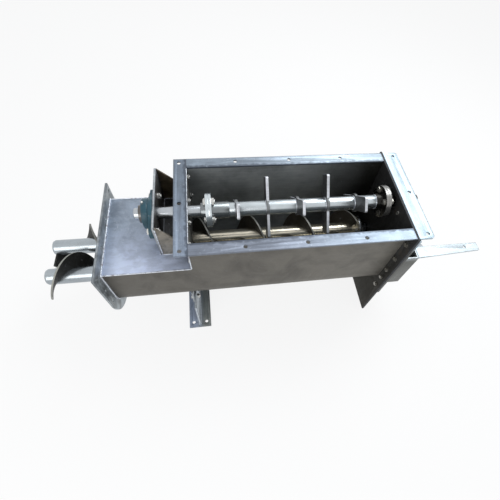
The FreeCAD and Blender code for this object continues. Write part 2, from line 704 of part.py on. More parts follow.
def makeAgitator():
    up = "@agitator_axis"
    joint = "(@left_coupling + sizes.disc_thick)"
    outer_end = "@bracket_face - sizes.stub_reach"
    stub = [(outer_end, "0"), (joint, "0"), (joint, "@shaft_radius"),
            (outer_end + " + sizes.chamfer", "@shaft_radius"), (outer_end, "@shaft_radius - sizes.chamfer")]
    turned("agitator_stub", stub, up=up)
    insert_left = "@bracket_face - sizes.bearing_depth - sizes.chamfer"
    insert = ring(insert_left, "@bracket_face - sizes.chamfer", "@shaft_radius", "sizes.bearing_seat")
    turned("bearing_insert", insert, up=up)
    turned("lock_collar", ring(insert_left + " - sizes.collar_width", insert_left, "@shaft_radius",
                               "sizes.bearing_seat - sizes.shaft_step"), up=up)
    hub = "@left_coupling - sizes.stub_hub"
    left_disc = [(hub, "@shaft_radius"), (joint, "@shaft_radius"), (joint, "@disc_radius"),
                 ("@left_coupling", "@disc_radius"), ("@left_coupling", "@shaft_radius + sizes.collar_width"),
                 (hub, "@shaft_radius + sizes.collar_width")]
    boredDisc("left_coupling_stub", left_disc, 90)
    far = joint + " + sizes.disc_thick"
    hub = joint + " + sizes.left_hub"
    right_disc = [(joint, "@tube_radius"), (hub, "@tube_radius"), (hub, "@hub_radius"), (far, "@hub_radius"),
                  (far, "@disc_radius"), (joint, "@disc_radius")]
    boredDisc("left_coupling_tube", right_disc, 90)
    boltGroup("left_coupling_bolts", onCircle("@disc_bolts", 4, 90, "0", up), "@left_coupling", far,
              "sizes.mount_bolt")
    turned("agitator_tube", ring(joint, "@right_coupling + sizes.disc_thick", "@tube_radius - sizes.tube_wall",
                                 "@tube_radius"), up=up)
    makeRightCoupling(up)
    for index in range(paddle_count):
        makePaddle(index, up)


# Coupling disc with a shaft that steps down at its driven end

def driveProfile(face, far, step_at, end, disc):
    reduced = "@shaft_radius - sizes.shaft_step"
    return [(face, "0"), (end, "0"), (end, reduced + " - sizes.chamfer"),
            (end + " - sizes.chamfer", reduced), (step_at, reduced), (step_at, "@shaft_radius"),
            (far, "@shaft_radius"), (far, disc), (face, disc)]


def boredDisc(label, profile, first):
    body = turned(label, profile, up="@agitator_axis")
    spots = onCircle("@disc_bolts", 4, first)
    drill(body, "YZ_Plane", "@left_coupling", [(across, up, "@mount_hole") for across, up in spots])
    return body


def makeRightCoupling(up):
    face = "@right_coupling + sizes.disc_thick"
    far = face + " + sizes.disc_thick"
    hub = "@right_coupling - sizes.right_hub"
    disc = [(hub, "@tube_radius"), (face, "@tube_radius"), (face, "@disc_radius"),
            ("@right_coupling", "@disc_radius"), ("@right_coupling", "@hub_radius"), (hub, "@hub_radius")]
    boredDisc("right_coupling_tube", disc, 45)
    step_at = "@drive_end + sizes.cartridge_depth + sizes.step_gap"
    stub = driveProfile(face, far, step_at, "@drive_end + sizes.stub_length", "@disc_radius")
    boredDisc("agitator_drive_stub", stub, 45)
    boltGroup("right_coupling_bolts", onCircle("@disc_bolts", 4, 45, "0", up), "@right_coupling", far,
              "sizes.mount_bolt")


paddle_count = 5


def makePaddle(index, up):
    body = newBody("agitator_paddle_%d" % (index + 1))
    half = "sizes.paddle_width / 2"
    start = "-sizes.paddle_thick / 2"
    sketch = sketchOn(body, "YZ_Plane", start)
    rectangle(sketch, "-sizes.paddle_reach", "sizes.paddle_reach", "-" + half, half)
    pad(body, sketch, "sizes.paddle_thick")
    padCircle(body, "YZ_Plane", start, "0", "0", "@tube_radius + sizes.paddle_eye", "sizes.paddle_thick")
    drill(body, "YZ_Plane", "0", [("0", "0", "@tube_radius")])
    tip = value("sizes.paddle_reach")
    filletEdges(body, "sizes.paddle_round",
                lambda a, b: abs(abs(a.y) - tip) < 1 and abs(a.y - b.y) < 1 and abs(a.x - b.x) > 1)
    angle = 135 if index % 2 == 0 else 45
    body.Placement = FreeCAD.Placement(FreeCAD.Vector(), FreeCAD.Rotation(FreeCAD.Vector(1, 0, 0), angle))
    station = "@paddle_first + (@paddle_last - @paddle_first) * %d / %d" % (index, paddle_count - 1)
    place(body, station, "0", up)


# Screws. Each flight is a helical strip of constant thickness, built turn by turn as
# ruled steps, so that its outer edge keeps the radius and its root sits on the pipe.

steps_per_turn = 24


def flightShape(start_angle, hand, start_x):
    pitch, thick = value("sizes.screw_pitch"), value("sizes.flight_thick")
    outer = value("sizes.flight_radius")
    inner = value("@pipe_radius") / math.cos(math.pi / steps_per_turn)
    length = value("@screw_coupling - sizes.flight_end_gap") - thick - start_x
    steps = max(steps_per_turn, int(round(length / pitch * steps_per_turn)))
    rings = []
    for step in range(steps + 1):
        angle = math.radians(start_angle + hand * 360 * length / pitch * step / steps)
        along = start_x + length * step / steps
        spots = []
        for radius, shift in ((inner, 0), (outer, 0), (outer, thick), (inner, thick)):
            spots.append(FreeCAD.Vector(along + shift, radius * math.cos(angle), radius * math.sin(angle)))
        rings.append(spots)
    faces = [Part.Face(Part.makePolygon(rings[0] + rings[0][:1])),
             Part.Face(Part.makePolygon(rings[-1] + rings[-1][:1]))]
    for here, after in zip(rings, rings[1:]):
        for corner in range(4):
            other = (corner + 1) % 4
            a, b, c, d = here[corner], here[other], after[other], after[corner]
            faces.append(Part.Face(Part.makePolygon([a, b, c, a])))
            faces.append(Part.Face(Part.makePolygon([a, c, d, a])))
    shell = Part.makeShell(faces)
    shell.sewShape()
    solid = Part.makeSolid(shell)
    if solid.Volume < 0:
        solid.reverse()
    return solid


def makeFlight(name, side, hand):
    feature = doc.addObject("Part::Feature", "screw_flight_" + name)
    feature.Label = "screw_flight_" + name
    start_x = value("@flange_face - sizes.%s_flight_reach" % name)
    feature.Shape = flightShape(value("sizes.%s_flight_angle" % name), hand, start_x)
    place(feature, "0", side, "sizes.screw_height")
    nodes.append(feature)


# Timing gear: involute teeth from the module and the centre distance

pressure_angle = math.radians(20)
tooth_root = 1.25
flank_play = 0.12


def toothCount():
    return max(12, int(round(value("@screw_gap") / value("sizes.gear_module"))))


def gearShape(turn):
    width, teeth = value("sizes.gear_width"), toothCount()
    pitch_radius = value("@side")
    module = 2 * pitch_radius / teeth
    base, tip = pitch_radius * math.cos(pressure_angle), pitch_radius + module
    root = pitch_radius - tooth_root * module
    involute = math.tan(pressure_angle) - pressure_angle
    half = math.pi / (2 * teeth) - flank_play / pitch_radius
    spots = []
    for tooth in range(teeth):
        middle = math.radians(turn) + 2 * math.pi * tooth / teeth
        flank = []
        for radius in (root, base, pitch_radius, pitch_radius + module / 2, tip):
            roll = math.acos(min(1, base / max(radius, base)))
            flank.append((radius, half + involute - (math.tan(roll) - roll)))
        for radius, spread in flank:
            spots.append((radius, middle - spread))
        for radius, spread in reversed(flank):
            spots.append((radius, middle + spread))
    points = [FreeCAD.Vector(0, radius * math.cos(angle), radius * math.sin(angle)) for radius, angle in spots]
    blank = Part.Face(Part.makePolygon(points + points[:1])).extrude(FreeCAD.Vector(width, 0, 0))
    step, along = value("sizes.hub_step"), FreeCAD.Vector(1, 0, 0)
    hub = Part.makeCylinder(value("sizes.gear_hub"), width + 2 * step, FreeCAD.Vector(-step, 0, 0), along)
    bore = Part.makeCylinder(value("@shaft_radius"), width + 4 * step, FreeCAD.Vector(-2 * step, 0, 0), along)
    return blank.fuse(hub).cut(bore)


def makeGear(name, side, turn):
    feature = doc.addObject("Part::Feature", "timing_gear_" + name)
    feature.Label = "timing_gear_" + name
    feature.Shape = gearShape(turn)
    place(feature, "@drive_end + sizes.gear_gap", side, "sizes.screw_height")
    nodes.append(feature)


def makeScrew(name, side, shaft_end):
    up = "sizes.screw_height"
    left = "@flange_face - sizes.%s_pipe_reach" % name
    face = "@screw_coupling + sizes.disc_thick"
    far = face + " + sizes.disc_thick"
    holes = [(across, high, "@plate_bolt_hole") for across, high in onCircle("@screw_bolts", 4, 45)]
    pipe = [(left, "0"), (face, "0"), (face, "@screw_disc"), ("@screw_coupling", "@screw_disc"),
            ("@screw_coupling", "@pipe_radius"), (left + " + sizes.nose_length", "@pipe_radius"),
            (left + " + sizes.nose_step", "@pipe_radius - sizes.nose_step"),
            (left, "@pipe_radius - sizes.nose_length")]
    body = turned("screw_pipe_" + name, pipe, "0", side, up)
    drill(body, "YZ_Plane", "@screw_coupling", holes)
    step_at = "@box_end + sizes.panel_bearing_depth + 2 * sizes.step_gap"
    shaft = driveProfile(face, far, step_at, shaft_end, "@screw_disc")
    body = turned("screw_shaft_" + name, shaft, "0", side, up)
    drill(body, "YZ_Plane", "@screw_coupling", holes)
    boltGroup("screw_coupling_bolts_" + name, onCircle("@screw_bolts", 4, 45, side, up),
              "@screw_coupling", far, "sizes.plate_bolt")


def makeScrews():
    makeScrew("front", "-@side", "@box_end + sizes.input_length")
    makeScrew("rear", "@side", "@box_end + sizes.idle_length")
    makeFlight("front", "-@side", -1)
    makeFlight("rear", "@side", 1)
    makeGear("front", "-@side", 0)
    makeGear("rear", "@side", 180 + 180 / toothCount())


makeTrough()
makeCover()
makeDischargeFlange()
makeEndWall()
makeRim()
makeEndPlates()
makeGearBox()
makeTorqueArm()
makeBracket()
makeOuterBearing()
makeDriveBearing()
makeScrewBearings()
makeGland()
makeSupport()
makeAgitator()
makeScrews()
doc.recompute()

os.makedirs("parts", exist_ok=True)
for obj in doc.Objects:
    if "Invalid" in obj.State or "Error" in obj.State:
        raise RuntimeError("%s is not computed: %s" % (obj.Label, obj.State))
for node in nodes:
    if node.Shape.isNull() or not node.Shape.isValid():
        raise RuntimeError("%s has no valid shape" % node.Label)
    node.Shape.exportStep("parts/%s.step" % node.Label)
print("%d nodes written" % len(nodes))
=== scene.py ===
import bpy
import json
import math
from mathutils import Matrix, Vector


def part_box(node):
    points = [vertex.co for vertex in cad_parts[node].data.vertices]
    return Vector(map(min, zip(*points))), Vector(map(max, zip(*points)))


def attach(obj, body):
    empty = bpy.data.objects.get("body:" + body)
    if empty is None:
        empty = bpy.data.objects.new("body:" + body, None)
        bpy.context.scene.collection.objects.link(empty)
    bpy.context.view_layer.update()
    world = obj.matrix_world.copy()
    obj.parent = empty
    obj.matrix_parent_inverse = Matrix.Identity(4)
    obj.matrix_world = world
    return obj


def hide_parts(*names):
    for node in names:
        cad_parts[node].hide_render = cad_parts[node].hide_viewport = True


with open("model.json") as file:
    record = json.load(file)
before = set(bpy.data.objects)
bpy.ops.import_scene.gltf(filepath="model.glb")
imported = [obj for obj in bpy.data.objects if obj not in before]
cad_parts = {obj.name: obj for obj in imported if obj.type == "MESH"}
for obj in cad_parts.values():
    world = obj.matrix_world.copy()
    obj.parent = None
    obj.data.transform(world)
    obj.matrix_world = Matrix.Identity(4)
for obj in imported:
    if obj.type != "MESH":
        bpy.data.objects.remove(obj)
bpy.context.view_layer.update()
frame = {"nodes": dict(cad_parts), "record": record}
nodes = frame["nodes"]
behaviour = frame["record"]["behaviour"]
bodyOf = {}
for bodyName, members in behaviour["bodies"].items():
    for member in members:
        bodyOf[member] = bodyName
axisOf = {row["child"]: row["pos_m"] for row in behaviour["joints"]}
agitatorZ = axisOf["agitator"][2]
screwY = axisOf["rear_screw"][1]
screwZ = axisOf["rear_screw"][2]


def sides(nodeName):
    low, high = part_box(nodeName)
    return {"left": low[0], "right": high[0], "front": low[1], "rear": high[1], "under": low[2],
            "top": high[2]}


cover = sides("tube_cover")
flange = sides("discharge_flange")
hopperWall = sides("hopper_end_wall")
web = sides("bracket_web")
ribFront = sides("bracket_rib_front")
ribRear = sides("bracket_rib_rear")
trough = sides("trough_shell")
print("frame loaded:", len(nodes), "nodes")


# node helpers

def addNode(tree, kind, **values):
    node = tree.nodes.new(kind)
    for name, setting in values.items():
        setattr(node, name, setting)
    return node


def link(tree, source, target):
    tree.links.new(source, target)


def feed(tree, source, socket):
    if isinstance(source, (int, float, tuple)):
        socket.default_value = source
    else:
        link(tree, source, socket)


def newGroup(name, inputs, outputs):
    group = bpy.data.node_groups.new(name, "ShaderNodeTree")
    for label, kind, start in inputs:
        socket = group.interface.new_socket(label, in_out="INPUT", socket_type=kind)
        socket.default_value = start
    for label in outputs:
        group.interface.new_socket(label, in_out="OUTPUT", socket_type="NodeSocketFloat")
    return group, addNode(group, "NodeGroupInput").outputs, addNode(group, "NodeGroupOutput").inputs


def mathNode(tree, operation, first, second=None, clamp=False):
    node = addNode(tree, "ShaderNodeMath", operation=operation, use_clamp=clamp)
    feed(tree, first, node.inputs[0])
    if second is not None:
        feed(tree, second, node.inputs[1])
    return node.outputs[0]


def vectorMath(tree, operation, first, second):
    node = addNode(tree, "ShaderNodeVectorMath", operation=operation)
    link(tree, first, node.inputs[0])
    link(tree, second, node.inputs[1])
    return node.outputs[0]


def splitNode(tree, vector):
    parts = addNode(tree, "ShaderNodeSeparateXYZ")
    link(tree, vector, parts.inputs[0])
    return parts.outputs


def rangeNode(tree, source, low, high, outLow=0.0, outHigh=1.0):
    node = addNode(tree, "ShaderNodeMapRange")
    feed(tree, source, node.inputs["Value"])
    feed(tree, low, node.inputs["From Min"])
    feed(tree, high, node.inputs["From Max"])
    feed(tree, outLow, node.inputs["To Min"])
    feed(tree, outHigh, node.inputs["To Max"])
    return node.outputs["Result"]


def mixColour(tree, factor, first, second, blend="MIX"):
    node = addNode(tree, "ShaderNodeMix", data_type="RGBA", blend_type=blend)
    # of its many sockets, the colour ones are the seventh and the eighth
    for index, source in ((0, factor), (6, first), (7, second)):
        feed(tree, source, node.inputs[index])
    return node.outputs[2]


def noiseNode(tree, vector, scale, detail, rough=0.5, twist=0.0):
    noise = addNode(tree, "ShaderNodeTexNoise")
    feed(tree, scale, noise.inputs["Scale"])
    feed(tree, detail, noise.inputs["Detail"])
    feed(tree, rough, noise.inputs["Roughness"])
    feed(tree, twist, noise.inputs["Distortion"])
    link(tree, vector, noise.inputs["Vector"])
    return noise.outputs["Fac"]


# shared surface effects

brushSizes = {"detail": 3.0, "rough": 0.6, "markLow": 0.35, "markHigh": 0.65, "swirlScale": 14.0,
              "swirlDetail": 2.0, "swirlTwist": 2.5, "scratchWidth": 0.004}
stainSizes = {"detail": 6.0, "rough": 0.6, "twist": 0.6}
raggedSizes = {"scale": 60.0, "detail": 3.0, "noiseLow": 0.3, "noiseHigh": 0.7, "narrow": 0.3, "wide": 1.6,
               "solid": 0.4}


def makeBrushGroup():
    group, source, result = newGroup(
        "brushMarks",
        [("Vector", "NodeSocketVector", (0, 0, 0)), ("Fine", "NodeSocketFloat", 90.0),
         ("Stretch", "NodeSocketVector", (1, 1, 1))],
        ["Marks", "Scratches", "Height"])
    stretched = vectorMath(group, "MULTIPLY", source["Vector"], source["Stretch"])
    grain = noiseNode(group, stretched, source["Fine"], brushSizes["detail"], brushSizes["rough"])
    swirl = noiseNode(group, source["Vector"], brushSizes["swirlScale"], brushSizes["swirlDetail"],
                      twist=brushSizes["swirlTwist"])
    # a scratch runs where the swirling noise crosses its middle value
    thin = mathNode(group, "ABSOLUTE", mathNode(group, "SUBTRACT", swirl, 0.5))
    link(group, rangeNode(group, grain, brushSizes["markLow"], brushSizes["markHigh"]), result["Marks"])
    link(group, rangeNode(group, thin, brushSizes["scratchWidth"], 0.0), result["Scratches"])
    link(group, grain, result["Height"])
    return group


def makeStainGroup():
    group, source, result = newGroup(
        "stains",
        [("Vector", "NodeSocketVector", (0, 0, 0)), ("Size", "NodeSocketFloat", 7.0),
         ("Low", "NodeSocketFloat", 0.5), ("High", "NodeSocketFloat", 0.68)],
        ["Stain", "Cloud"])
    cloud = noiseNode(group, source["Vector"], source["Size"], stainSizes["detail"], stainSizes["rough"],
                      stainSizes["twist"])
    link(group, rangeNode(group, cloud, source["Low"], source["High"]), result["Stain"])
    link(group, cloud, result["Cloud"])
    return group


def makeEdgeGroup():
    group, source, result = newGroup(
        "edgeWear",
        [("Vector", "NodeSocketVector", (0, 0, 0)), ("Low", "NodeSocketVector", (0, 0, 0)),
         ("High", "NodeSocketVector", (1, 1, 1)), ("Width", "NodeSocketFloat", 0.006)],
        ["Edge"])
    fromLow = vectorMath(group, "SUBTRACT", source["Vector"], source["Low"])
    fromHigh = vectorMath(group, "SUBTRACT", source["High"], source["Vector"])
    near = splitNode(group, vectorMath(group, "MINIMUM", fromLow, fromHigh))
    lesser = mathNode(group, "MINIMUM", near["X"], near["Y"])
    larger = mathNode(group, "MAXIMUM", near["X"], near["Y"])
    # the middle one of the three distances, because the least is nought all over a face
    middle = mathNode(group, "MAXIMUM", lesser, mathNode(group, "MINIMUM", larger, near["Z"]))
    ragged = noiseNode(group, source["Vector"], raggedSizes["scale"], raggedSizes["detail"])
    spread = rangeNode(group, ragged, raggedSizes["noiseLow"], raggedSizes["noiseHigh"],
                       raggedSizes["narrow"], raggedSizes["wide"])
    share = mathNode(group, "DIVIDE", middle, mathNode(group, "MULTIPLY", source["Width"], spread))
    link(group, rangeNode(group, share, 1.0, raggedSizes["solid"]), result["Edge"])
    return group


def makeRoundGroup():
    group, source, result = newGroup(
        "roundMask",
        [("Vector", "NodeSocketVector", (0, 0, 0)), ("Axis Y", "NodeSocketFloat", 0.0),
         ("Axis Z", "NodeSocketFloat", 0.0), ("Inner", "NodeSocketFloat", 0.0),
         ("Outer", "NodeSocketFloat", 1.0)],
        ["Radius"])
    parts = splitNode(group, source["Vector"])
    across = mathNode(group, "SUBTRACT", parts["Y"], source["Axis Y"])
    upward = mathNode(group, "SUBTRACT", parts["Z"], source["Axis Z"])
    squares = mathNode(group, "ADD", mathNode(group, "MULTIPLY", across, across),
                       mathNode(group, "MULTIPLY", upward, upward))
    radius = mathNode(group, "SQRT", squares)
    link(group, rangeNode(group, radius, source["Inner"], source["Outer"]), result["Radius"])
    return group


brushGroup = makeBrushGroup()
stainGroup = makeStainGroup()
edgeGroup = makeEdgeGroup()
roundGroup = makeRoundGroup()
print("effects ready")


# materials

finishSizes = {"noiseLow": 0.3, "noiseHigh": 0.7, "stainRough": 0.12, "bumpDepth": 0.0003}


def placeGroup(tree, group, vector, **values):
    node = addNode(tree, "ShaderNodeGroup", node_tree=group)
    link(tree, vector, node.inputs["Vector"])
    for name, setting in values.items():
        node.inputs[name.replace("_", " ")].default_value = setting
    return node.outputs


def startMaterial(name):
    material = bpy.data.materials.new(name)
    material.use_nodes = True
    tree = material.node_tree
    coords = addNode(tree, "ShaderNodeTexCoord")
    return material, tree, tree.nodes["Principled BSDF"], coords.outputs["Object"]


def addBump(tree, shader, height, strength, distance):
    bump = addNode(tree, "ShaderNodeBump")
    bump.inputs["Strength"].default_value = strength
    bump.inputs["Distance"].default_value = distance
    link(tree, height, bump.inputs["Height"])
    link(tree, bump.outputs["Normal"], shader.inputs["Normal"])


def colour(red, green, blue):
    return (red, green, blue, 1)


def alongAxis(tree, vector, axis, start, end):
    return rangeNode(tree, splitNode(tree, vector)[axis], start, end)


def alongPiece(tree, vector, nodeName, run):
    axis, first, last = run
    low, high = (corner["XYZ".index(axis)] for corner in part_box(nodeName))
    return alongAxis(tree, vector, axis, low + first * (high - low), low + last * (high - low))


def cloudRange(tree, cloud, low, high):
    return rangeNode(tree, cloud, finishSizes["noiseLow"], finishSizes["noiseHigh"], low, high)


def shaded(tree, base, factor, low, high):
    grey = cloudRange(tree, factor, low, high)
    scale = addNode(tree, "ShaderNodeCombineColor")
    for socket in ("Red", "Green", "Blue"):
        link(tree, grey, scale.inputs[socket])
    return mixColour(tree, 1.0, base, scale.outputs[0], "MULTIPLY")


def groundFinish(tree, shader, vector, base, look, edges=()):
    brush = placeGroup(tree, brushGroup, vector, Fine=look["fine"], Stretch=look["stretch"])
    stain = placeGroup(tree, stainGroup, vector, Size=look["stainSize"], Low=look["stainLow"],
                       High=look["stainHigh"])
    clouded = shaded(tree, base, stain["Cloud"], look["cloudLow"], look["cloudHigh"])
    marked = shaded(tree, clouded, brush["Marks"], 1.0 - look["brush"], 1.0 + look["brush"])
    scratch = mathNode(tree, "MULTIPLY", brush["Scratches"], look["scratch"])
    scratched = mixColour(tree, scratch, marked, look["scratchColour"])
    dirt = mathNode(tree, "MULTIPLY", stain["Stain"], look["stain"])
    darkened = mixColour(tree, dirt, scratched, look["stainColour"])
    for low, high, width, strength, edgeColour in edges:
        wear = placeGroup(tree, edgeGroup, vector, Low=low, High=high, Width=width)
        share = mathNode(tree, "MULTIPLY", wear["Edge"], strength)
        darkened = mixColour(tree, share, darkened, edgeColour)
    link(tree, darkened, shader.inputs["Base Color"])
    markRough = rangeNode(tree, brush["Marks"], 0.0, 1.0, look["roughLow"], look["roughHigh"])
    stainRough = mathNode(tree, "MULTIPLY", stain["Stain"], finishSizes["stainRough"])
    link(tree, mathNode(tree, "ADD", markRough, stainRough, clamp=True), shader.inputs["Roughness"])
    shader.inputs["Metallic"].default_value = look["metal"]
    shader.inputs["Specular IOR Level"].default_value = look["shine"]
    addBump(tree, shader, brush["Height"], look["bump"], finishSizes["bumpDepth"])


# Finishes: ground sheet with its marks along X, across or upright, and what is made from it
sheetLook = {"fine": 160.0, "stretch": (0.06, 1.0, 1.0), "stainSize": 9.0, "stainLow": 0.56,
             "stainHigh": 0.72, "cloudLow": 0.82, "cloudHigh": 1.12, "brush": 0.10, "scratch": 0.35,
             "scratchColour": colour(0.70, 0.74, 0.80), "stain": 0.45,
             "stainColour": colour(0.16, 0.18, 0.22), "roughLow": 0.34, "roughHigh": 0.50,
             "metal": 0.55, "shine": 0.5, "bump": 0.25}
acrossLook = dict(sheetLook, stretch=(1.0, 0.06, 1.0))
uprightLook = dict(sheetLook, stretch=(1.0, 1.0, 0.06))
wallLook = dict(sheetLook, stainSize=7.0, stainColour=colour(0.05, 0.048, 0.042), scratch=0.10, metal=0.30,
                brush=0.06, cloudLow=0.62, cloudHigh=1.35, roughLow=0.42, roughHigh=0.58, shine=0.3)
ribLook = dict(wallLook, stainSize=24.0, cloudLow=0.4, cloudHigh=1.7)
darkLook = dict(wallLook, stretch=(1.0, 1.0, 0.06), metal=0.10, roughLow=0.50, roughHigh=0.62, shine=0.12,
                stainColour=colour(0.10, 0.07, 0.04))
coverLook = dict(sheetLook, fine=40.0, stretch=(0.5, 1.0, 1.0), stainSize=6.0, cloudLow=0.66,
                 cloudHigh=1.38, brush=0.08, scratch=0.6, stain=0.35, metal=0.45,
                 stainColour=colour(0.44, 0.50, 0.56), roughLow=0.36, roughHigh=0.5)
flangeLook = dict(coverLook, stainSize=24.0, cloudLow=0.45, cloudHigh=1.5)
rimLook = dict(sheetLook, stainSize=14.0, cloudLow=0.78, cloudHigh=1.15, brush=0.07)
turnedLook = dict(sheetLook, fine=70.0, stretch=(0.05, 1.0, 1.0), stainSize=9.0, stainLow=0.62,
                  stainHigh=0.80, cloudLow=0.84, cloudHigh=1.10, brush=0.03, scratch=0.08, stain=0.3,
                  stainColour=colour(0.16, 0.155, 0.14), roughLow=0.22, roughHigh=0.25, metal=0.9, bump=0.0)
platedLook = dict(turnedLook, stretch=(1, 1, 1))


# Flat pieces: the colour runs along one axis, between two shares of the piece's own length. The start and
# end colours hold each piece's own tone and also painted light: a piece is lighter where light falls on it
# and darker where shade falls.
# The dark inner edge of a rim lies on the low (0) or high (1) side of X (0) or Y (1).
plateColoursAndPaintedLight = {
    # painted light: the three rims run lighter towards the right and towards the front, as lit from there
    "inlet_rim_left": {"run": ("Y", 0.5, 0.01), "start": colour(0.165, 0.200, 0.250),
                       "end": colour(0.25, 0.30, 0.385), "look": dict(rimLook, stretch=(1.0, 0.06, 1.0)),
                       "inner": (1, 0)},
    "inlet_rim_front": {"run": ("X", 0.443, 1.017), "start": colour(0.180, 0.203, 0.250),
                        "end": colour(0.31, 0.38, 0.455), "look": rimLook, "inner": (1, 1)},
    "inlet_rim_rear": {"run": ("X", 0.349, 1.044), "start": colour(0.235, 0.280, 0.335),
                       "end": colour(0.46, 0.555, 0.635), "look": rimLook, "inner": (0, 1)},
    # painted shade: the drive plate is near black low down inside the hopper and pale only at its top band
    "drive_plate": {"run": ("Z", 0.8, 0.9875), "start": colour(0.06, 0.06, 0.05),
                    "end": colour(0.44, 0.545, 0.62), "look": acrossLook},
    "torque_arm": {"run": ("X", -0.029, 0.407), "start": colour(0.47, 0.56, 0.61),
                   "end": colour(0.56, 0.63, 0.67), "look": sheetLook},
    # painted light: the gear box is dark on its sides and pale on top, as lit from above
    "gear_box": {"run": ("Z", 0.886, 1.0), "start": colour(0.125, 0.13, 0.12),
                 "end": colour(0.38, 0.41, 0.42), "look": uprightLook},
    # painted light: the tube cover runs lighter and bluer towards the front, as lit from there
    "tube_cover": {"run": ("Y", 0.65, 0.003), "start": colour(0.31, 0.365, 0.45),
                   "end": colour(0.50, 0.56, 0.72), "look": coverLook},
    "discharge_flange": {"run": ("Z", 0.371, 0.786), "start": colour(0.44, 0.48, 0.50),
                         "end": colour(0.26, 0.285, 0.30), "look": flangeLook},
    "bracket_web": {"run": ("Z", 0.0, 1.0), "start": colour(0.27, 0.285, 0.30),
                    "end": colour(0.46, 0.49, 0.51), "look": uprightLook},
    "bracket_rib_front": {"run": ("Z", 0.0, 1.0), "start": colour(0.27, 0.25, 0.215),
                          "end": colour(0.20, 0.18, 0.15), "look": ribLook},
    # painted shade: the rear rib is darker than the front one, as its face lies inside the bracket
    "bracket_rib_rear": {"run": ("Z", 0.0, 1.0), "start": colour(0.16, 0.12, 0.07),
                         "end": colour(0.08, 0.065, 0.045), "look": ribLook},
    "hopper_end_wall": {"run": ("Z", 0.027, 1.04), "start": colour(0.08, 0.08, 0.075),
                        "end": colour(0.14, 0.14, 0.135), "look": wallLook},
    # painted shade: the end plate is near black, as in the shade inside the hopper
    "end_plate": {"run": ("Z", 0.345, 0.862), "start": colour(0.032, 0.030, 0.024),
                  "end": colour(0.040, 0.040, 0.040), "look": darkLook},
    # painted light: the foot plate is bluish at the left where lit and darker to the right in the trough's
    # shadow; the saddle plate's pale blue is a painted reflection of the sky
    "foot_plate": {"run": ("X", 0.287, 0.713), "start": colour(0.36, 0.42, 0.54),
                   "end": colour(0.30, 0.32, 0.31), "look": acrossLook},
    "saddle_plate": {"run": ("Z", 0.0625, 1.0), "start": colour(0.60, 0.66, 0.71),
                     "end": colour(0.48, 0.53, 0.57), "look": uprightLook},
    "saddle_lug_front": {"run": ("Z", 0.01, 0.86), "start": colour(0.55, 0.59, 0.61),
                         "end": colour(0.45, 0.48, 0.50), "look": uprightLook},
    "saddle_lug_rear": {"run": ("Z", 0.01, 0.86), "start": colour(0.50, 0.54, 0.56),
                        "end": colour(0.40, 0.43, 0.45), "look": uprightLook},
}
edgeSizes = {"width": 0.0030, "strength": 0.5, "colour": colour(0.09, 0.10, 0.12), "innerWidth": 0.011,
             "innerStrength": 0.75, "innerColour": colour(0.045, 0.055, 0.075), "away": 1.0}

# Painted shade inside the bearing bracket, on the cover under it and on the web's right face
bracketShadeSizes = {"share": 0.88, "colour": colour(0.034, 0.029, 0.021), "coverGap": 0.003,
              "skinFrom": 0.0022, "skinTo": 0.0008}
bracketShadeRuns = {
    "tube_cover": [("X", web["left"] + bracketShadeSizes["coverGap"], web["right"] + bracketShadeSizes["coverGap"]),
                   ("Y", ribFront["front"], ribFront["rear"])],
    "bracket_web": [("X", web["right"] - bracketShadeSizes["skinFrom"], web["right"] - bracketShadeSizes["skinTo"])],
}


def plateEdges(nodeName, inner):
    low, high = (list(corner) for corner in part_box(nodeName))
    edges = [(low, high, edgeSizes["width"], edgeSizes["strength"], edgeSizes["colour"])]
    if inner:
        # a box whose other upright sides lie far away, so that only the inner edge shows
        near = [[value - edgeSizes["away"] for value in low[:2]] + [low[2]],
                [value + edgeSizes["away"] for value in high[:2]] + [high[2]]]
        side, axis = inner
        near[side][axis] = (low, high)[side][axis]
        edges.append((near[0], near[1], edgeSizes["innerWidth"], edgeSizes["innerStrength"],
                      edgeSizes["innerColour"]))
    return edges


def plateSteel(nodeName):
    own = plateColoursAndPaintedLight[nodeName]
    material, tree, shader, vector = startMaterial(nodeName + "Steel")
    run = alongPiece(tree, vector, nodeName, own["run"])
    base = mixColour(tree, run, own["start"], own["end"])
    # painted shade inside the bearing bracket, darkening the web's right face and the cover behind the front
    # rib
    if nodeName in bracketShadeRuns:
        share = bracketShadeSizes["share"]
        for axis, clean, darkened in bracketShadeRuns[nodeName]:
            share = mathNode(tree, "MULTIPLY", share, alongAxis(tree, vector, axis, clean, darkened))
        base = mixColour(tree, share, base, bracketShadeSizes["colour"])
    groundFinish(tree, shader, vector, base, own["look"], plateEdges(nodeName, own.get("inner")))
    return material


# Trough: one colour run for the skin outside and one inside, told apart in the middle of the sheet. Both
# runs are painted light: the outside lighter towards the right, the inside light at the left and near black
# in shade towards the right end.
troughLook = {"outsideLeft": colour(0.120, 0.112, 0.098), "outsideRight": colour(0.165, 0.155, 0.135),
              "insideLeft": colour(0.25, 0.265, 0.27), "insideRight": colour(0.018, 0.018, 0.016),
              "outsideRun": ("X", 0.08, 0.936), "insideRun": ("X", 0.67, 0.955), "skinDepth": 0.002,
              "skinRadius": 0.0985, "blur": 0.0003, "bend": 0.001}


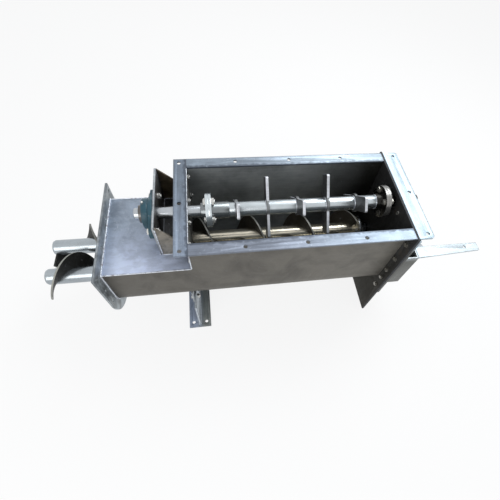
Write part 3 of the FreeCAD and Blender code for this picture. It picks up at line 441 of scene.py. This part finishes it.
def troughSteel():
    material, tree, shader, vector = startMaterial("troughSteel")
    parts = splitNode(tree, vector)
    halfWay = mathNode(tree, "ABSOLUTE", parts["Y"])
    folded = addNode(tree, "ShaderNodeCombineXYZ")
    link(tree, halfWay, folded.inputs["Y"])
    link(tree, parts["Z"], folded.inputs["Z"])
    blur = troughLook["blur"]
    radius = troughLook["skinRadius"]
    skin = trough["rear"] - troughLook["skinDepth"]
    ring = placeGroup(tree, roundGroup, folded.outputs[0], Axis_Y=screwY, Axis_Z=screwZ, Inner=radius - blur,
                      Outer=radius + blur)
    low = rangeNode(tree, parts["Z"], screwZ + troughLook["bend"], screwZ)
    barrel = mathNode(tree, "MULTIPLY", ring["Radius"], low)
    side = rangeNode(tree, halfWay, skin - blur, skin + blur)
    outside = mathNode(tree, "MAXIMUM", barrel, side)
    outer = mixColour(tree, alongPiece(tree, vector, "trough_shell", troughLook["outsideRun"]),
                      troughLook["outsideLeft"], troughLook["outsideRight"])
    inner = mixColour(tree, alongPiece(tree, vector, "trough_shell", troughLook["insideRun"]),
                      troughLook["insideLeft"], troughLook["insideRight"])
    groundFinish(tree, shader, vector, mixColour(tree, outside, inner, outer), wallLook)
    return material


def turnedSteel(name, light, look=turnedLook):
    material, tree, shader, vector = startMaterial(name)
    groundFinish(tree, shader, vector, light, look)
    return material


# Screw pipes and flights: silver outside the tube, warmer and lighter inside the hopper
hopperToneSizes = {"start": flange["left"] + 0.001, "length": 0.09}
pipeLook = {"silver": colour(0.38, 0.42, 0.45), "warm": colour(0.74, 0.69, 0.57)}


def warmerInHopper(tree, vector, clean, warm):
    end = hopperToneSizes["start"] + hopperToneSizes["length"]
    return mixColour(tree, alongAxis(tree, vector, "X", hopperToneSizes["start"], end), clean, warm)


def pipeSteel():
    material, tree, shader, vector = startMaterial("pipeSteel")
    base = warmerInHopper(tree, vector, pipeLook["silver"], pipeLook["warm"])
    groundFinish(tree, shader, vector, base, dict(turnedLook, metal=0.85))
    return material


# Paddles: dark flat faces and pale edges, painted shade on the faces and a painted highlight on the edges;
# the edges turn darker near the tube
paddleCount = 5
firstPaddle = sides("agitator_paddle_1")
paddleHalf = (firstPaddle["right"] - firstPaddle["left"]) / 2
paddleX = firstPaddle["left"] + paddleHalf
paddleStep = sides("agitator_paddle_2")["left"] - firstPaddle["left"]
paddleLook = {"face": colour(0.075, 0.077, 0.080), "edge": colour(0.66, 0.68, 0.72),
              "eye": colour(0.20, 0.21, 0.215), "skinFrom": 0.0006, "skinTo": 0.0002, "eyeFrom": 0.0335,
              "eyeTo": 0.0365}


def paddleSteel():
    material, tree, shader, vector = startMaterial("paddleSteel")
    fromFirst = mathNode(tree, "SUBTRACT", splitNode(tree, vector)["X"], paddleX)
    offset = mathNode(tree, "PINGPONG", fromFirst, paddleStep / 2)
    flat = rangeNode(tree, offset, paddleHalf - paddleLook["skinFrom"], paddleHalf - paddleLook["skinTo"])
    ring = placeGroup(tree, roundGroup, vector, Axis_Z=agitatorZ, Inner=paddleLook["eyeFrom"],
                      Outer=paddleLook["eyeTo"])
    edge = mixColour(tree, ring["Radius"], paddleLook["eye"], paddleLook["edge"])
    base = mixColour(tree, flat, edge, paddleLook["face"])
    groundFinish(tree, shader, vector, base, dict(wallLook, metal=0.5, roughLow=0.3, roughHigh=0.42))
    return material


# Coupling discs: dark faces inside a pale rim, painted shade on the faces and a painted highlight on the rim
discRadius = sides("left_coupling_stub")["rear"]
discLooks = {
    "couplingSteel": {"face": colour(0.24, 0.26, 0.27), "rim": colour(0.66, 0.72, 0.75), "rimFrom": 0.0012,
                      "rimTo": 0.0008, "look": dict(turnedLook, metal=0.8)},
    # painted shade: a darker copy of the coupling steel, for the right coupling and the drive stub
    "dullSteel": {"face": colour(0.022, 0.021, 0.019), "rim": colour(0.28, 0.275, 0.265), "rimFrom": 0.0014,
                  "rimTo": 0.0009, "look": dict(turnedLook, metal=0.7, shine=0.3)},
}


def discSteel(name):
    own = discLooks[name]
    material, tree, shader, vector = startMaterial(name)
    ring = placeGroup(tree, roundGroup, vector, Axis_Z=agitatorZ, Inner=discRadius - own["rimFrom"],
                      Outer=discRadius - own["rimTo"])
    groundFinish(tree, shader, vector, mixColour(tree, ring["Radius"], own["face"], own["rim"]), own["look"])
    return material


bearingLook = {"paint": colour(0.004, 0.030, 0.046), "worn": colour(0.020, 0.090, 0.125),
               "chip": colour(0.20, 0.20, 0.20), "chipShare": 0.4, "stainSize": 26.0, "stainLow": 0.60,
               "stainHigh": 0.66, "roughLow": 0.30, "roughHigh": 0.5, "grain": 220.0, "grainDetail": 4.0,
               "grainRough": 0.55, "bump": 0.35, "bumpDepth": 0.0005}


def bearingPaint():
    own = bearingLook
    material, tree, shader, vector = startMaterial("bearingPaint")
    stain = placeGroup(tree, stainGroup, vector, Size=own["stainSize"], Low=own["stainLow"],
                       High=own["stainHigh"])
    base = mixColour(tree, stain["Cloud"], own["paint"], own["worn"])
    chips = mathNode(tree, "MULTIPLY", stain["Stain"], own["chipShare"])
    link(tree, mixColour(tree, chips, base, own["chip"]), shader.inputs["Base Color"])
    rough = cloudRange(tree, stain["Cloud"], own["roughLow"], own["roughHigh"])
    link(tree, rough, shader.inputs["Roughness"])
    grain = noiseNode(tree, vector, own["grain"], own["grainDetail"], own["grainRough"])
    addBump(tree, shader, grain, own["bump"], own["bumpDepth"])
    return material


weldLook = {"clean": colour(0.66, 0.70, 0.76), "heated": colour(0.24, 0.22, 0.24), "stainSize": 60.0,
            "stainLow": 0.5, "stainHigh": 0.7, "roughLow": 0.22, "roughHigh": 0.42, "metal": 0.75}


def weldMetal():
    own = weldLook
    material, tree, shader, vector = startMaterial("weldMetal")
    stain = placeGroup(tree, stainGroup, vector, Size=own["stainSize"], Low=own["stainLow"],
                       High=own["stainHigh"])
    link(tree, mixColour(tree, stain["Stain"], own["clean"], own["heated"]), shader.inputs["Base Color"])
    rough = cloudRange(tree, stain["Cloud"], own["roughLow"], own["roughHigh"])
    link(tree, rough, shader.inputs["Roughness"])
    shader.inputs["Metallic"].default_value = own["metal"]
    return material


brightSteel = turnedSteel("brightSteel", colour(0.46, 0.49, 0.52))
couplingSteel = discSteel("couplingSteel")
collarSteel = turnedSteel("collarSteel", colour(0.13, 0.125, 0.12))
tubeLook = dict(turnedLook, roughLow=0.26, roughHigh=0.3)
tubeSteel = turnedSteel("tubeSteel", colour(0.54, 0.59, 0.62), tubeLook)
dullSteel = discSteel("dullSteel")
gearSteel = turnedSteel("gearSteel", colour(0.22, 0.215, 0.205), dict(turnedLook, stretch=(0.1, 1.0, 1.0)))
boltZinc = turnedSteel("boltZinc", colour(0.60, 0.60, 0.58), platedLook)
# painted shade: a darker copy of the zinc bolts
boltDull = turnedSteel("boltDull", colour(0.24, 0.23, 0.205), dict(platedLook, metal=0.7))
bearingTeal = bearingPaint()
weldSteel = weldMetal()
print("materials ready")


# pieces

meshSizes = {"mergeGap": 0.00001, "flatAngle": 0.5, "sharpAngle": 28.0, "roundAngle": 40.0, "edgeSteps": 2,
             "levelGap": 0.000001, "facing": 0.9}


def deselectAll():
    if bpy.context.mode != "OBJECT":
        bpy.ops.object.mode_set(mode="OBJECT")
    bpy.ops.object.select_all(action="DESELECT")


def pickOnly(obj):
    deselectAll()
    obj.select_set(True)
    bpy.context.view_layer.objects.active = obj


def setMaterial(obj, material):
    obj.data.materials.clear()
    obj.data.materials.append(material)


def applyModifier(obj, kind, **values):
    pickOnly(obj)
    modifier = obj.modifiers.new(kind.lower(), kind)
    for name, setting in values.items():
        setattr(modifier, name, setting)
    bpy.ops.object.modifier_apply(modifier=modifier.name)


def softenEdges(obj, width, segments, angle):
    applyModifier(obj, "BEVEL", width=width, segments=segments, limit_method="ANGLE",
                  angle_limit=math.radians(angle))


def applyPlace(obj):
    pickOnly(obj)
    bpy.ops.object.transform_apply(location=True, rotation=True, scale=True)


def joined(pieces, name):
    deselectAll()
    for piece in pieces:
        piece.select_set(True)
    bpy.context.view_layer.objects.active = pieces[0]
    if len(pieces) > 1:
        bpy.ops.object.join()
    pieces[0].name = name
    return pieces[0]


def turnOutward():
    bpy.ops.object.mode_set(mode="EDIT")
    bpy.ops.mesh.select_all(action="SELECT")
    bpy.ops.mesh.normals_make_consistent(inside=False)
    bpy.ops.object.mode_set(mode="OBJECT")


def copyOf(source, name):
    twin = bpy.data.objects.new(name, source.data.copy())
    bpy.context.scene.collection.objects.link(twin)
    return twin


def mergedCopy(nodeName, name):
    piece = copyOf(nodes[nodeName], name)
    pickOnly(piece)
    bpy.ops.object.mode_set(mode="EDIT")
    bpy.ops.mesh.select_all(action="SELECT")
    bpy.ops.mesh.remove_doubles(threshold=meshSizes["mergeGap"])
    return piece


def finishPiece(piece, material, bodyName):
    setMaterial(piece, material)
    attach(piece, bodyName)


def standFor(piece, nodeName, material):
    finishPiece(piece, material, bodyOf[nodeName])
    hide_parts(nodeName)


def softened(nodeName, material, edge):
    piece = mergedCopy(nodeName, nodeName + "_finish")
    bpy.ops.mesh.dissolve_limited(angle_limit=math.radians(meshSizes["flatAngle"]))
    bpy.ops.object.mode_set(mode="OBJECT")
    softenEdges(piece, edge, meshSizes["edgeSteps"], meshSizes["sharpAngle"])
    bpy.ops.object.shade_smooth_by_angle(angle=math.radians(meshSizes["sharpAngle"]))
    standFor(piece, nodeName, material)


plateEdge = 0.0009
for nodeName in plateColoursAndPaintedLight:
    softened(nodeName, plateSteel(nodeName), plateEdge)
setMaterial(nodes["trough_shell"], troughSteel())
# Round pieces: their finish and the width of their softened edges
roundFinishes = [
    (("agitator_bearing", "agitator_drive_bearing", "screw_bearing_front", "screw_bearing_rear",
      "panel_bearing_front", "panel_bearing_rear"), bearingTeal, 0.0016),
    (("agitator_stub", "screw_shaft_front", "screw_shaft_rear"), brightSteel, 0.0008),
    (("left_coupling_stub", "left_coupling_tube"), couplingSteel, 0.0010),
    (("lock_collar", "bearing_insert", "shaft_gland"), collarSteel, 0.0010),
    (("right_coupling_tube", "agitator_drive_stub"), dullSteel, 0.0008),
    (("agitator_tube",), tubeSteel, 0.0005),
    (["agitator_paddle_%d" % (index + 1) for index in range(paddleCount)], paddleSteel(), 0.0010),
    (("timing_gear_front", "timing_gear_rear"), gearSteel, 0.0004),
]
for nodeNames, material, edge in roundFinishes:
    for nodeName in nodeNames:
        softened(nodeName, material, edge)
pipeFinish = pipeSteel()
for nodeName in ("screw_pipe_front", "screw_pipe_rear"):
    setMaterial(nodes[nodeName], pipeFinish)
print("frame finished")


# bolts: one model for each size and length, copied to where the plain ones of the frame stand

boltDiameters = {"plate_bolts": 0.010, "agitator_bearing_bolts": 0.012, "agitator_drive_bolts": 0.008,
                 "gland_bolts": 0.008, "saddle_bolts": 0.012, "left_coupling_bolts": 0.012,
                 "right_coupling_bolts": 0.012, "screw_coupling_bolts_front": 0.010,
                 "screw_coupling_bolts_rear": 0.010}
# the plate bolts and the right coupling's bolts take the darker zinc copy: painted shade
shadedBolts = ("plate_bolts", "right_coupling_bolts")
# shares of the thread's diameter, apart from crown, faceShare and washerSoft
boltShape = {"corner": 0.98, "hexCorner": 0.9016, "head": 0.65, "nut": 0.80, "tail": 1.0,
             "washerThick": 0.12, "washerSoft": 0.25, "threadSoft": 0.09, "faceShare": 0.80, "crown": 0.10,
             "washerSides": 24, "threadSides": 16, "smoothAngle": 32.0}
wallBolts = {"dia": 0.010, "fromSide": 0.014, "fromTop": 0.023, "fromUnder": 0.031}


def rodPiece(start, length, radius, corners):
    deselectAll()
    bpy.ops.mesh.primitive_cylinder_add(vertices=corners, radius=radius, depth=length,
                                        rotation=(0, math.pi / 2, 0), location=(start + length / 2, 0, 0))
    piece = bpy.context.active_object
    applyPlace(piece)
    return piece


def hexPiece(start, height, radius, outward):
    piece = rodPiece(start, height, radius, 6)
    end = start + height if outward > 0 else start
    bpy.ops.object.mode_set(mode="EDIT")
    bpy.ops.mesh.select_all(action="DESELECT")
    bpy.ops.object.mode_set(mode="OBJECT")
    for face in piece.data.polygons:
        level = abs(face.center.x - end) < meshSizes["levelGap"]
        face.select = level and abs(face.normal.x) > meshSizes["facing"]
    bpy.ops.object.mode_set(mode="EDIT")
    bpy.ops.mesh.select_mode(type="FACE")
    bpy.ops.mesh.inset(thickness=radius * (1 - boltShape["faceShare"]))
    bpy.ops.transform.translate(value=(outward * boltShape["crown"] * height, 0, 0))
    bpy.ops.object.mode_set(mode="OBJECT")
    return piece


def roundPiece(start, length, radius, corners, soften):
    piece = rodPiece(start, length, radius, corners)
    softenEdges(piece, soften, meshSizes["edgeSteps"], meshSizes["roundAngle"])
    return piece


def boltModel(dia, grip):
    corner = dia * boltShape["corner"]
    hexCorner = dia * boltShape["hexCorner"]
    crown = 1 + boltShape["crown"]
    thin = dia * boltShape["washerThick"]
    headHeight = dia * boltShape["head"] / crown
    nutHeight = dia * boltShape["nut"]
    soften = thin * boltShape["washerSoft"]
    pieces = [hexPiece(-headHeight, headHeight - thin, hexCorner, -1),
              roundPiece(-thin, thin, corner, boltShape["washerSides"], soften),
              roundPiece(grip, thin, corner, boltShape["washerSides"], soften),
              hexPiece(grip + thin, (nutHeight - thin) / crown, hexCorner, 1),
              roundPiece(-thin, grip + dia * boltShape["tail"] + thin, dia / 2, boltShape["threadSides"],
                         dia * boltShape["threadSoft"])]
    model = joined(pieces, "boltModel")
    bpy.ops.object.shade_smooth_by_angle(angle=math.radians(boltShape["smoothAngle"]))
    return model


def boltPlaces(nodeName):
    mergedCopy(nodeName, "plainBolts")
    bpy.ops.mesh.separate(type="LOOSE")
    bpy.ops.object.mode_set(mode="OBJECT")
    places = []
    for single in list(bpy.context.selected_objects):
        across = [point.co.y for point in single.data.vertices]
        upward = [point.co.z for point in single.data.vertices]
        # to the nearest micrometre
        places.append((round((min(across) + max(across)) / 2, 6), round((min(upward) + max(upward)) / 2, 6)))
        bpy.data.objects.remove(single)
    return sorted(places)


def boltRow(name, dia, head, nut, places):
    model = boltModel(dia, nut - head)
    twins = []
    for across, upward in places:
        twin = copyOf(model, "boltCopy")
        twin.location = (head, across, upward)
        applyPlace(twin)
        twins.append(twin)
    bpy.data.objects.remove(model)
    return joined(twins, name + "_detail")


for nodeName, dia in boltDiameters.items():
    plain = sides(nodeName)
    head = plain["left"] + dia * boltShape["head"]
    nut = plain["right"] - dia * boltShape["tail"]
    row = boltRow(nodeName, dia, head, nut, boltPlaces(nodeName))
    standFor(row, nodeName, boltDull if nodeName in shadedBolts else boltZinc)


def makeWallBolts():
    across = hopperWall["rear"] - wallBolts["fromSide"]
    levels = (hopperWall["top"] - wallBolts["fromTop"], hopperWall["under"] + wallBolts["fromUnder"])
    places = [(way * across, level) for way in (-1, 1) for level in levels]
    row = boltRow("wall_bolts", wallBolts["dia"], hopperWall["left"], hopperWall["right"], places)
    finishPiece(row, boltZinc, "casing")


makeWallBolts()
print("bolts made")


# weld beads: one small ripple repeated along each joint, rings round the agitator tube

# step is in bead radii; out and beside say how far a bead's middle line stands off the joint
beadSizes = {"radius": 0.0026, "step": 1.3, "sides": 8, "rings": 4, "out": 0.0004, "beside": 0.0002,
             "corner": 0.0006}
# how far the runs stop short of their joints' ends
beadEnds = {"cover": 0.002, "wall": 0.001, "corner": 0.004, "web": 0.002, "rib": 0.003, "ribTop": 0.010,
            "saddle": 0.003, "boxUnder": 0.005, "boxTop": 0.003, "lip": 0.002}
lipSizes = {"radius": 0.0016, "drop": 0.001}
# height of the front rib's seam on the hopper wall
ribSeam = 0.046
# the heavy weld round the flange: lid, sides, then both round troughs in short straight steps
flangeWeld = {"out": 0.0014, "lift": 0.0006, "radius": 0.1018, "start": 180, "end": 310, "stepAngle": 10,
              "bead": 0.0042}
ringSizes = {"radius": 0.0019, "sunk": 0.0002, "beside": 0.0006, "aroundSides": 56, "sides": 8}


def weldBead(start, end, radius):
    run = Vector(end) - Vector(start)
    deselectAll()
    bpy.ops.mesh.primitive_uv_sphere_add(segments=beadSizes["sides"], ring_count=beadSizes["rings"],
                                         radius=radius, rotation=(0, math.pi / 2, 0))
    bead = bpy.context.active_object
    applyPlace(bead)
    step = radius * beadSizes["step"]
    applyModifier(bead, "ARRAY", count=int(run.length / step) + 1, use_relative_offset=False,
                  use_constant_offset=True, constant_offset_displace=(step, 0, 0))
    bead.rotation_euler = run.to_track_quat("X", "Z").to_euler()
    bead.location = start
    applyPlace(bead)
    bpy.ops.object.shade_smooth()
    return bead


def mirroredRun(start, end):
    return [(start, end), ((start[0], -start[1], start[2]), (end[0], -end[1], end[2]))]


def coverRuns():
    out = beadSizes["out"]
    end = beadEnds["cover"]
    edge = cover["rear"] + beadSizes["beside"]
    seam = mirroredRun((cover["left"] + end, -edge, cover["top"] - out),
                       (cover["right"] - end, -edge, cover["top"] - out))
    half = hopperWall["rear"] - beadEnds["wall"]
    foot = ((hopperWall["left"] - out, -half, cover["top"] + out),
            (hopperWall["left"] - out, half, cover["top"] + out))
    along = hopperWall["left"] + beadSizes["corner"]
    upright = mirroredRun((along, -cover["rear"] - out, cover["top"] + beadEnds["corner"]),
                          (along, -cover["rear"] - out, hopperWall["top"] - beadEnds["corner"]))
    return seam + [foot] + upright


def bracketRuns():
    out = beadSizes["out"]
    end = beadEnds["web"]
    foot = cover["top"] + out
    low = cover["top"] + beadEnds["corner"]
    front = ribFront["front"] - out
    runs = [((web["left"] - out, web["front"] + end, foot), (web["left"] - out, web["rear"] - end, foot)),
            ((web["right"] + out, ribFront["rear"] + end, foot),
             (web["right"] + out, ribRear["front"] - end, foot))]
    for across in (front, ribRear["front"] - out):
        runs.append(((ribFront["left"] + beadEnds["rib"], across, foot),
                     (ribFront["right"] - beadEnds["rib"], across, foot)))
    runs.append(((web["right"] + out, front, low),
                 (web["right"] + out, front, web["top"] - beadEnds["ribTop"])))
    runs.append(((hopperWall["left"] - out, front, low),
                 (hopperWall["left"] - out, front, cover["top"] + ribSeam)))
    return runs


def saddleRuns():
    saddle = sides("saddle_plate")
    foot = sides("foot_plate")["top"] + beadSizes["out"]
    first = saddle["front"] + beadEnds["saddle"]
    last = saddle["rear"] - beadEnds["saddle"]
    edges = (saddle["left"] - beadSizes["out"], saddle["right"] + beadSizes["out"])
    return [((along, first, foot), (along, last, foot)) for along in edges]


def boxRuns():
    box = sides("gear_box")
    along = box["left"] + beadSizes["out"]
    across = box["front"] - beadSizes["out"]
    return mirroredRun((along, across, box["under"] + beadEnds["boxUnder"]),
                       (along, across, box["top"] - beadEnds["boxTop"]))


def lipRun():
    half = hopperWall["rear"] - beadEnds["lip"]
    along = hopperWall["right"] + beadSizes["out"]
    level = sides("inlet_rim_left")["top"] - lipSizes["drop"]
    return (along, -half, level), (along, half, level)


def flangeRuns():
    along = flange["right"] + flangeWeld["out"]
    side = cover["rear"] + flangeWeld["lift"]
    top = cover["top"] + flangeWeld["lift"]
    runs = [((along, -side, top), (along, side, top))]
    for way in (-1, 1):
        runs.append(((along, way * side, screwZ), (along, way * side, top)))
        points = []
        for degrees in range(flangeWeld["start"], flangeWeld["end"] + 1, flangeWeld["stepAngle"]):
            angle = math.radians(degrees)
            across = screwY - flangeWeld["radius"] * math.cos(angle)
            points.append((along, way * across, screwZ + flangeWeld["radius"] * math.sin(angle)))
        runs += list(zip(points, points[1:]))
    return runs


def makeCasingWelds():
    runs = coverRuns() + bracketRuns() + saddleRuns() + boxRuns()
    beads = [weldBead(start, end, beadSizes["radius"]) for start, end in runs]
    beads.append(weldBead(*lipRun(), lipSizes["radius"]))
    beads += [weldBead(start, end, flangeWeld["bead"]) for start, end in flangeRuns()]
    finishPiece(joined(beads, "casing_welds"), weldSteel, "casing")


def weldRing(along, radius):
    deselectAll()
    bpy.ops.mesh.primitive_torus_add(major_segments=ringSizes["aroundSides"],
                                     minor_segments=ringSizes["sides"], major_radius=radius,
                                     minor_radius=ringSizes["radius"], rotation=(0, math.pi / 2, 0),
                                     location=(along, 0, agitatorZ))
    ring = bpy.context.active_object
    applyPlace(ring)
    bpy.ops.object.shade_smooth()
    return ring


def makeAgitatorWelds():
    radius = sides("agitator_tube")["top"] - agitatorZ + ringSizes["sunk"]
    stations = [sides("left_coupling_tube")["right"], sides("right_coupling_tube")["left"]]
    for index in range(paddleCount):
        middle = paddleX + paddleStep * index
        reach = paddleHalf + ringSizes["beside"]
        stations += [middle - reach, middle + reach]
    rings = [weldRing(along, radius) for along in stations]
    finishPiece(joined(rings, "agitator_welds"), weldSteel, "agitator")


makeCasingWelds()
makeAgitatorWelds()
print("welds made")


# cast boss round the outer bearing, with its grease nipple

bearingLeft = sides("agitator_bearing")["left"]
bossSizes = {"step": 0.0004, "length": 0.0221, "radius": 0.0512, "wall": 0.0095, "round": 0.0045,
             "roundSteps": 4, "sides": 64}
nippleSizes = {"inset": 0.008, "rise": 0.0505, "stem": 0.004, "height": 0.008, "edge": 0.0006,
               "ball": 0.0036, "ballSides": 16, "ballRings": 10}


def bearingBoss():
    boss = bossSizes
    deselectAll()
    middle = bearingLeft + boss["step"] + boss["length"] / 2
    bpy.ops.mesh.primitive_cylinder_add(vertices=boss["sides"], radius=boss["radius"], depth=boss["length"],
                                        end_fill_type="NOTHING", rotation=(0, math.pi / 2, 0),
                                        location=(middle, 0, agitatorZ))
    piece = bpy.context.active_object
    applyPlace(piece)
    turnOutward()
    applyModifier(piece, "SOLIDIFY", thickness=boss["wall"], offset=-1.0)
    softenEdges(piece, boss["round"], boss["roundSteps"], meshSizes["roundAngle"])
    turnOutward()
    bpy.ops.object.shade_smooth_by_angle(angle=math.radians(meshSizes["roundAngle"]))
    piece.name = "bearing_boss"
    finishPiece(piece, bearingTeal, "casing")


def greaseNipple():
    nipple = nippleSizes
    along = bearingLeft + nipple["inset"]
    foot = agitatorZ + nipple["rise"]
    deselectAll()
    bpy.ops.mesh.primitive_cylinder_add(vertices=6, radius=nipple["stem"], depth=nipple["height"],
                                        location=(along, 0, foot + nipple["height"] / 2))
    stem = bpy.context.active_object
    applyPlace(stem)
    applyModifier(stem, "BEVEL", width=nipple["edge"], segments=meshSizes["edgeSteps"])
    deselectAll()
    bpy.ops.mesh.primitive_uv_sphere_add(segments=nipple["ballSides"], ring_count=nipple["ballRings"],
                                         radius=nipple["ball"], location=(along, 0, foot + nipple["height"]))
    ball = bpy.context.active_object
    applyPlace(ball)
    bpy.ops.object.shade_smooth()
    finishPiece(joined([stem, ball], "grease_nipple"), boltZinc, "casing")


bearingBoss()
greaseNipple()


# screw flights, one profile swept by the screw modifier

flightSizes = {"pitch": 0.208, "inner": 0.0300, "outer": 0.0860, "thick": 0.006, "stepsPerTurn": 64,
               "front": {"startAngle": 204.0, "hand": -1}, "rear": {"startAngle": 178.0, "hand": 1}}
# painted light on the flights: near-black faces as in shade, the pale outer edge a painted highlight
flightLook = {"clean": colour(0.024, 0.024, 0.022), "warm": colour(0.055, 0.048, 0.036),
              "rim": colour(0.34, 0.34, 0.31), "rimShare": 0.9, "rimFrom": 0.0012, "rimTo": 0.0003}


def flightSteel(name, axisY):
    material, tree, shader, vector = startMaterial(name)
    outer = flightSizes["outer"]
    ring = placeGroup(tree, roundGroup, vector, Axis_Y=axisY, Axis_Z=screwZ,
                      Inner=outer - flightLook["rimFrom"], Outer=outer - flightLook["rimTo"])
    face = warmerInHopper(tree, vector, flightLook["clean"], flightLook["warm"])
    rim = mathNode(tree, "MULTIPLY", ring["Radius"], flightLook["rimShare"])
    groundFinish(tree, shader, vector, mixColour(tree, rim, face, flightLook["rim"]),
                 dict(wallLook, fine=120.0, metal=0.25, scratch=0.25, shine=0.2))
    return material


def makeFlight(name):
    own = flightSizes[name]
    plain = sides("screw_flight_" + name)
    axisY = axisOf[name + "_screw"][1]
    thick = flightSizes["thick"]
    length = plain["right"] - thick - plain["left"]
    turns = length / flightSizes["pitch"]
    steps = int(turns * flightSizes["stepsPerTurn"])
    height = flightSizes["outer"] - flightSizes["inner"]
    deselectAll()
    bpy.ops.mesh.primitive_plane_add(size=1.0, location=(0, 0, 0))
    flight = bpy.context.active_object
    flight.name = "flight_" + name
    bpy.ops.object.mode_set(mode="EDIT")
    bpy.ops.mesh.select_all(action="SELECT")
    bpy.ops.transform.resize(value=(thick, height, 1))
    bpy.ops.transform.translate(value=(plain["left"] + thick / 2, flightSizes["inner"] + height / 2, 0))
    bpy.ops.mesh.delete(type="ONLY_FACE")
    bpy.ops.object.mode_set(mode="OBJECT")
    applyModifier(flight, "SCREW", axis="X", angle=own["hand"] * 2 * math.pi * turns, screw_offset=length,
                  steps=steps, render_steps=steps, use_merge_vertices=False)
    bpy.ops.object.mode_set(mode="EDIT")
    bpy.ops.mesh.select_all(action="SELECT")
    bpy.ops.mesh.remove_doubles(threshold=meshSizes["mergeGap"])
    bpy.ops.mesh.fill_holes(sides=4)
    bpy.ops.mesh.select_all(action="SELECT")
    bpy.ops.mesh.normals_make_consistent(inside=False)
    bpy.ops.transform.rotate(value=-math.radians(own["startAngle"]), orient_axis="X",
                             center_override=(0, 0, 0))
    bpy.ops.transform.translate(value=(0, axisY, screwZ))
    bpy.ops.object.mode_set(mode="OBJECT")
    bpy.ops.object.shade_smooth_by_angle(angle=math.radians(meshSizes["roundAngle"]))
    standFor(flight, "screw_flight_" + name, flightSteel("flightSteel" + name.capitalize(), axisY))


for name in ("front", "rear"):
    makeFlight(name)
print("flights made")


# floor, light and camera

stageSizes = {"floorHalf": 9.0, "floorPlace": (0.2, 0, -0.0005), "floorColour": (0.92, 0.92, 0.92, 1),
              "floorRough": 0.9, "floorGlow": 0.85, "worldLight": 0.55,
              "worldColour": (0.92, 0.96, 1.0, 1), "backdrop": (1, 1, 1, 1)}
lamps = {
    "overhead": {"place": (1.5, 1.0, 2.4), "aim": (0.3, 0, 0.4), "size": 1.6, "power": 46.0,
                 "colour": (0.93, 0.97, 1.0)},
    "frontFill": {"place": (-1.4, -2.2, 1.8), "aim": (0.2, 0, 0.3), "size": 1.8, "power": 26.0,
                  "colour": (1.0, 0.98, 0.95)},
}
cameraSizes = {"place": (0.12094, -0.74011, 1.43186), "turn": (0.522171, -0.090769, -0.144034),
               "lens": 23.5632, "sensor": 36.0, "shiftX": -0.04567, "shiftY": 0.03250, "nearest": 0.01}


def backdropRays(tree):
    rays = addNode(tree, "ShaderNodeLightPath").outputs
    clear = mathNode(tree, "MAXIMUM", rays["Is Camera Ray"], rays["Is Transmission Ray"])
    return mathNode(tree, "MAXIMUM", clear, rays["Is Glossy Ray"])


def blendInto(tree, factor, first, second, output):
    blend = addNode(tree, "ShaderNodeMixShader")
    for index, source in enumerate((factor, first, second)):
        link(tree, source, blend.inputs[index])
    link(tree, blend.outputs[0], tree.nodes[output].inputs["Surface"])


def makeFloor():
    deselectAll()
    bpy.ops.mesh.primitive_plane_add(size=2 * stageSizes["floorHalf"], location=stageSizes["floorPlace"])
    floor = bpy.context.active_object
    floor.name = "floor"
    material, tree, shader, vector = startMaterial("paleFloor")
    shader.inputs["Base Color"].default_value = stageSizes["floorColour"]
    shader.inputs["Roughness"].default_value = stageSizes["floorRough"]
    glow = addNode(tree, "ShaderNodeEmission")
    share = mathNode(tree, "MULTIPLY", backdropRays(tree), stageSizes["floorGlow"])
    blendInto(tree, share, shader.outputs[0], glow.outputs[0], "Material Output")
    setMaterial(floor, material)


def makeWorld():
    world = bpy.data.worlds.new("studio")
    bpy.context.scene.world = world
    world.use_nodes = True
    tree = world.node_tree
    soft = tree.nodes["Background"]
    soft.inputs["Color"].default_value = stageSizes["worldColour"]
    soft.inputs["Strength"].default_value = stageSizes["worldLight"]
    white = addNode(tree, "ShaderNodeBackground")
    white.inputs["Color"].default_value = stageSizes["backdrop"]
    blendInto(tree, backdropRays(tree), soft.outputs[0], white.outputs[0], "World Output")


def makeLamps():
    for name, own in lamps.items():
        data = bpy.data.lights.new(name, "AREA")
        data.size = own["size"]
        data.energy = own["power"]
        data.color = own["colour"]
        lamp = bpy.data.objects.new(name, data)
        bpy.context.scene.collection.objects.link(lamp)
        lamp.location = own["place"]
        aim = Vector(own["aim"]) - Vector(own["place"])
        lamp.rotation_euler = aim.to_track_quat("-Z", "Y").to_euler()


def makeCamera():
    data = bpy.data.cameras.new("photoView")
    data.lens = cameraSizes["lens"]
    data.sensor_width = cameraSizes["sensor"]
    data.shift_x = cameraSizes["shiftX"]
    data.shift_y = cameraSizes["shiftY"]
    data.clip_start = cameraSizes["nearest"]
    camera = bpy.data.objects.new("photoView", data)
    camera.location = cameraSizes["place"]
    camera.rotation_euler = cameraSizes["turn"]
    bpy.context.scene.collection.objects.link(camera)
    bpy.context.scene.camera = camera


makeFloor()
makeWorld()
makeLamps()
makeCamera()
bpy.context.scene.view_settings.view_transform = "Standard"
print("stage ready")

deselectAll()


def corners(bounds):
    return [list(corner) for corner in bounds]
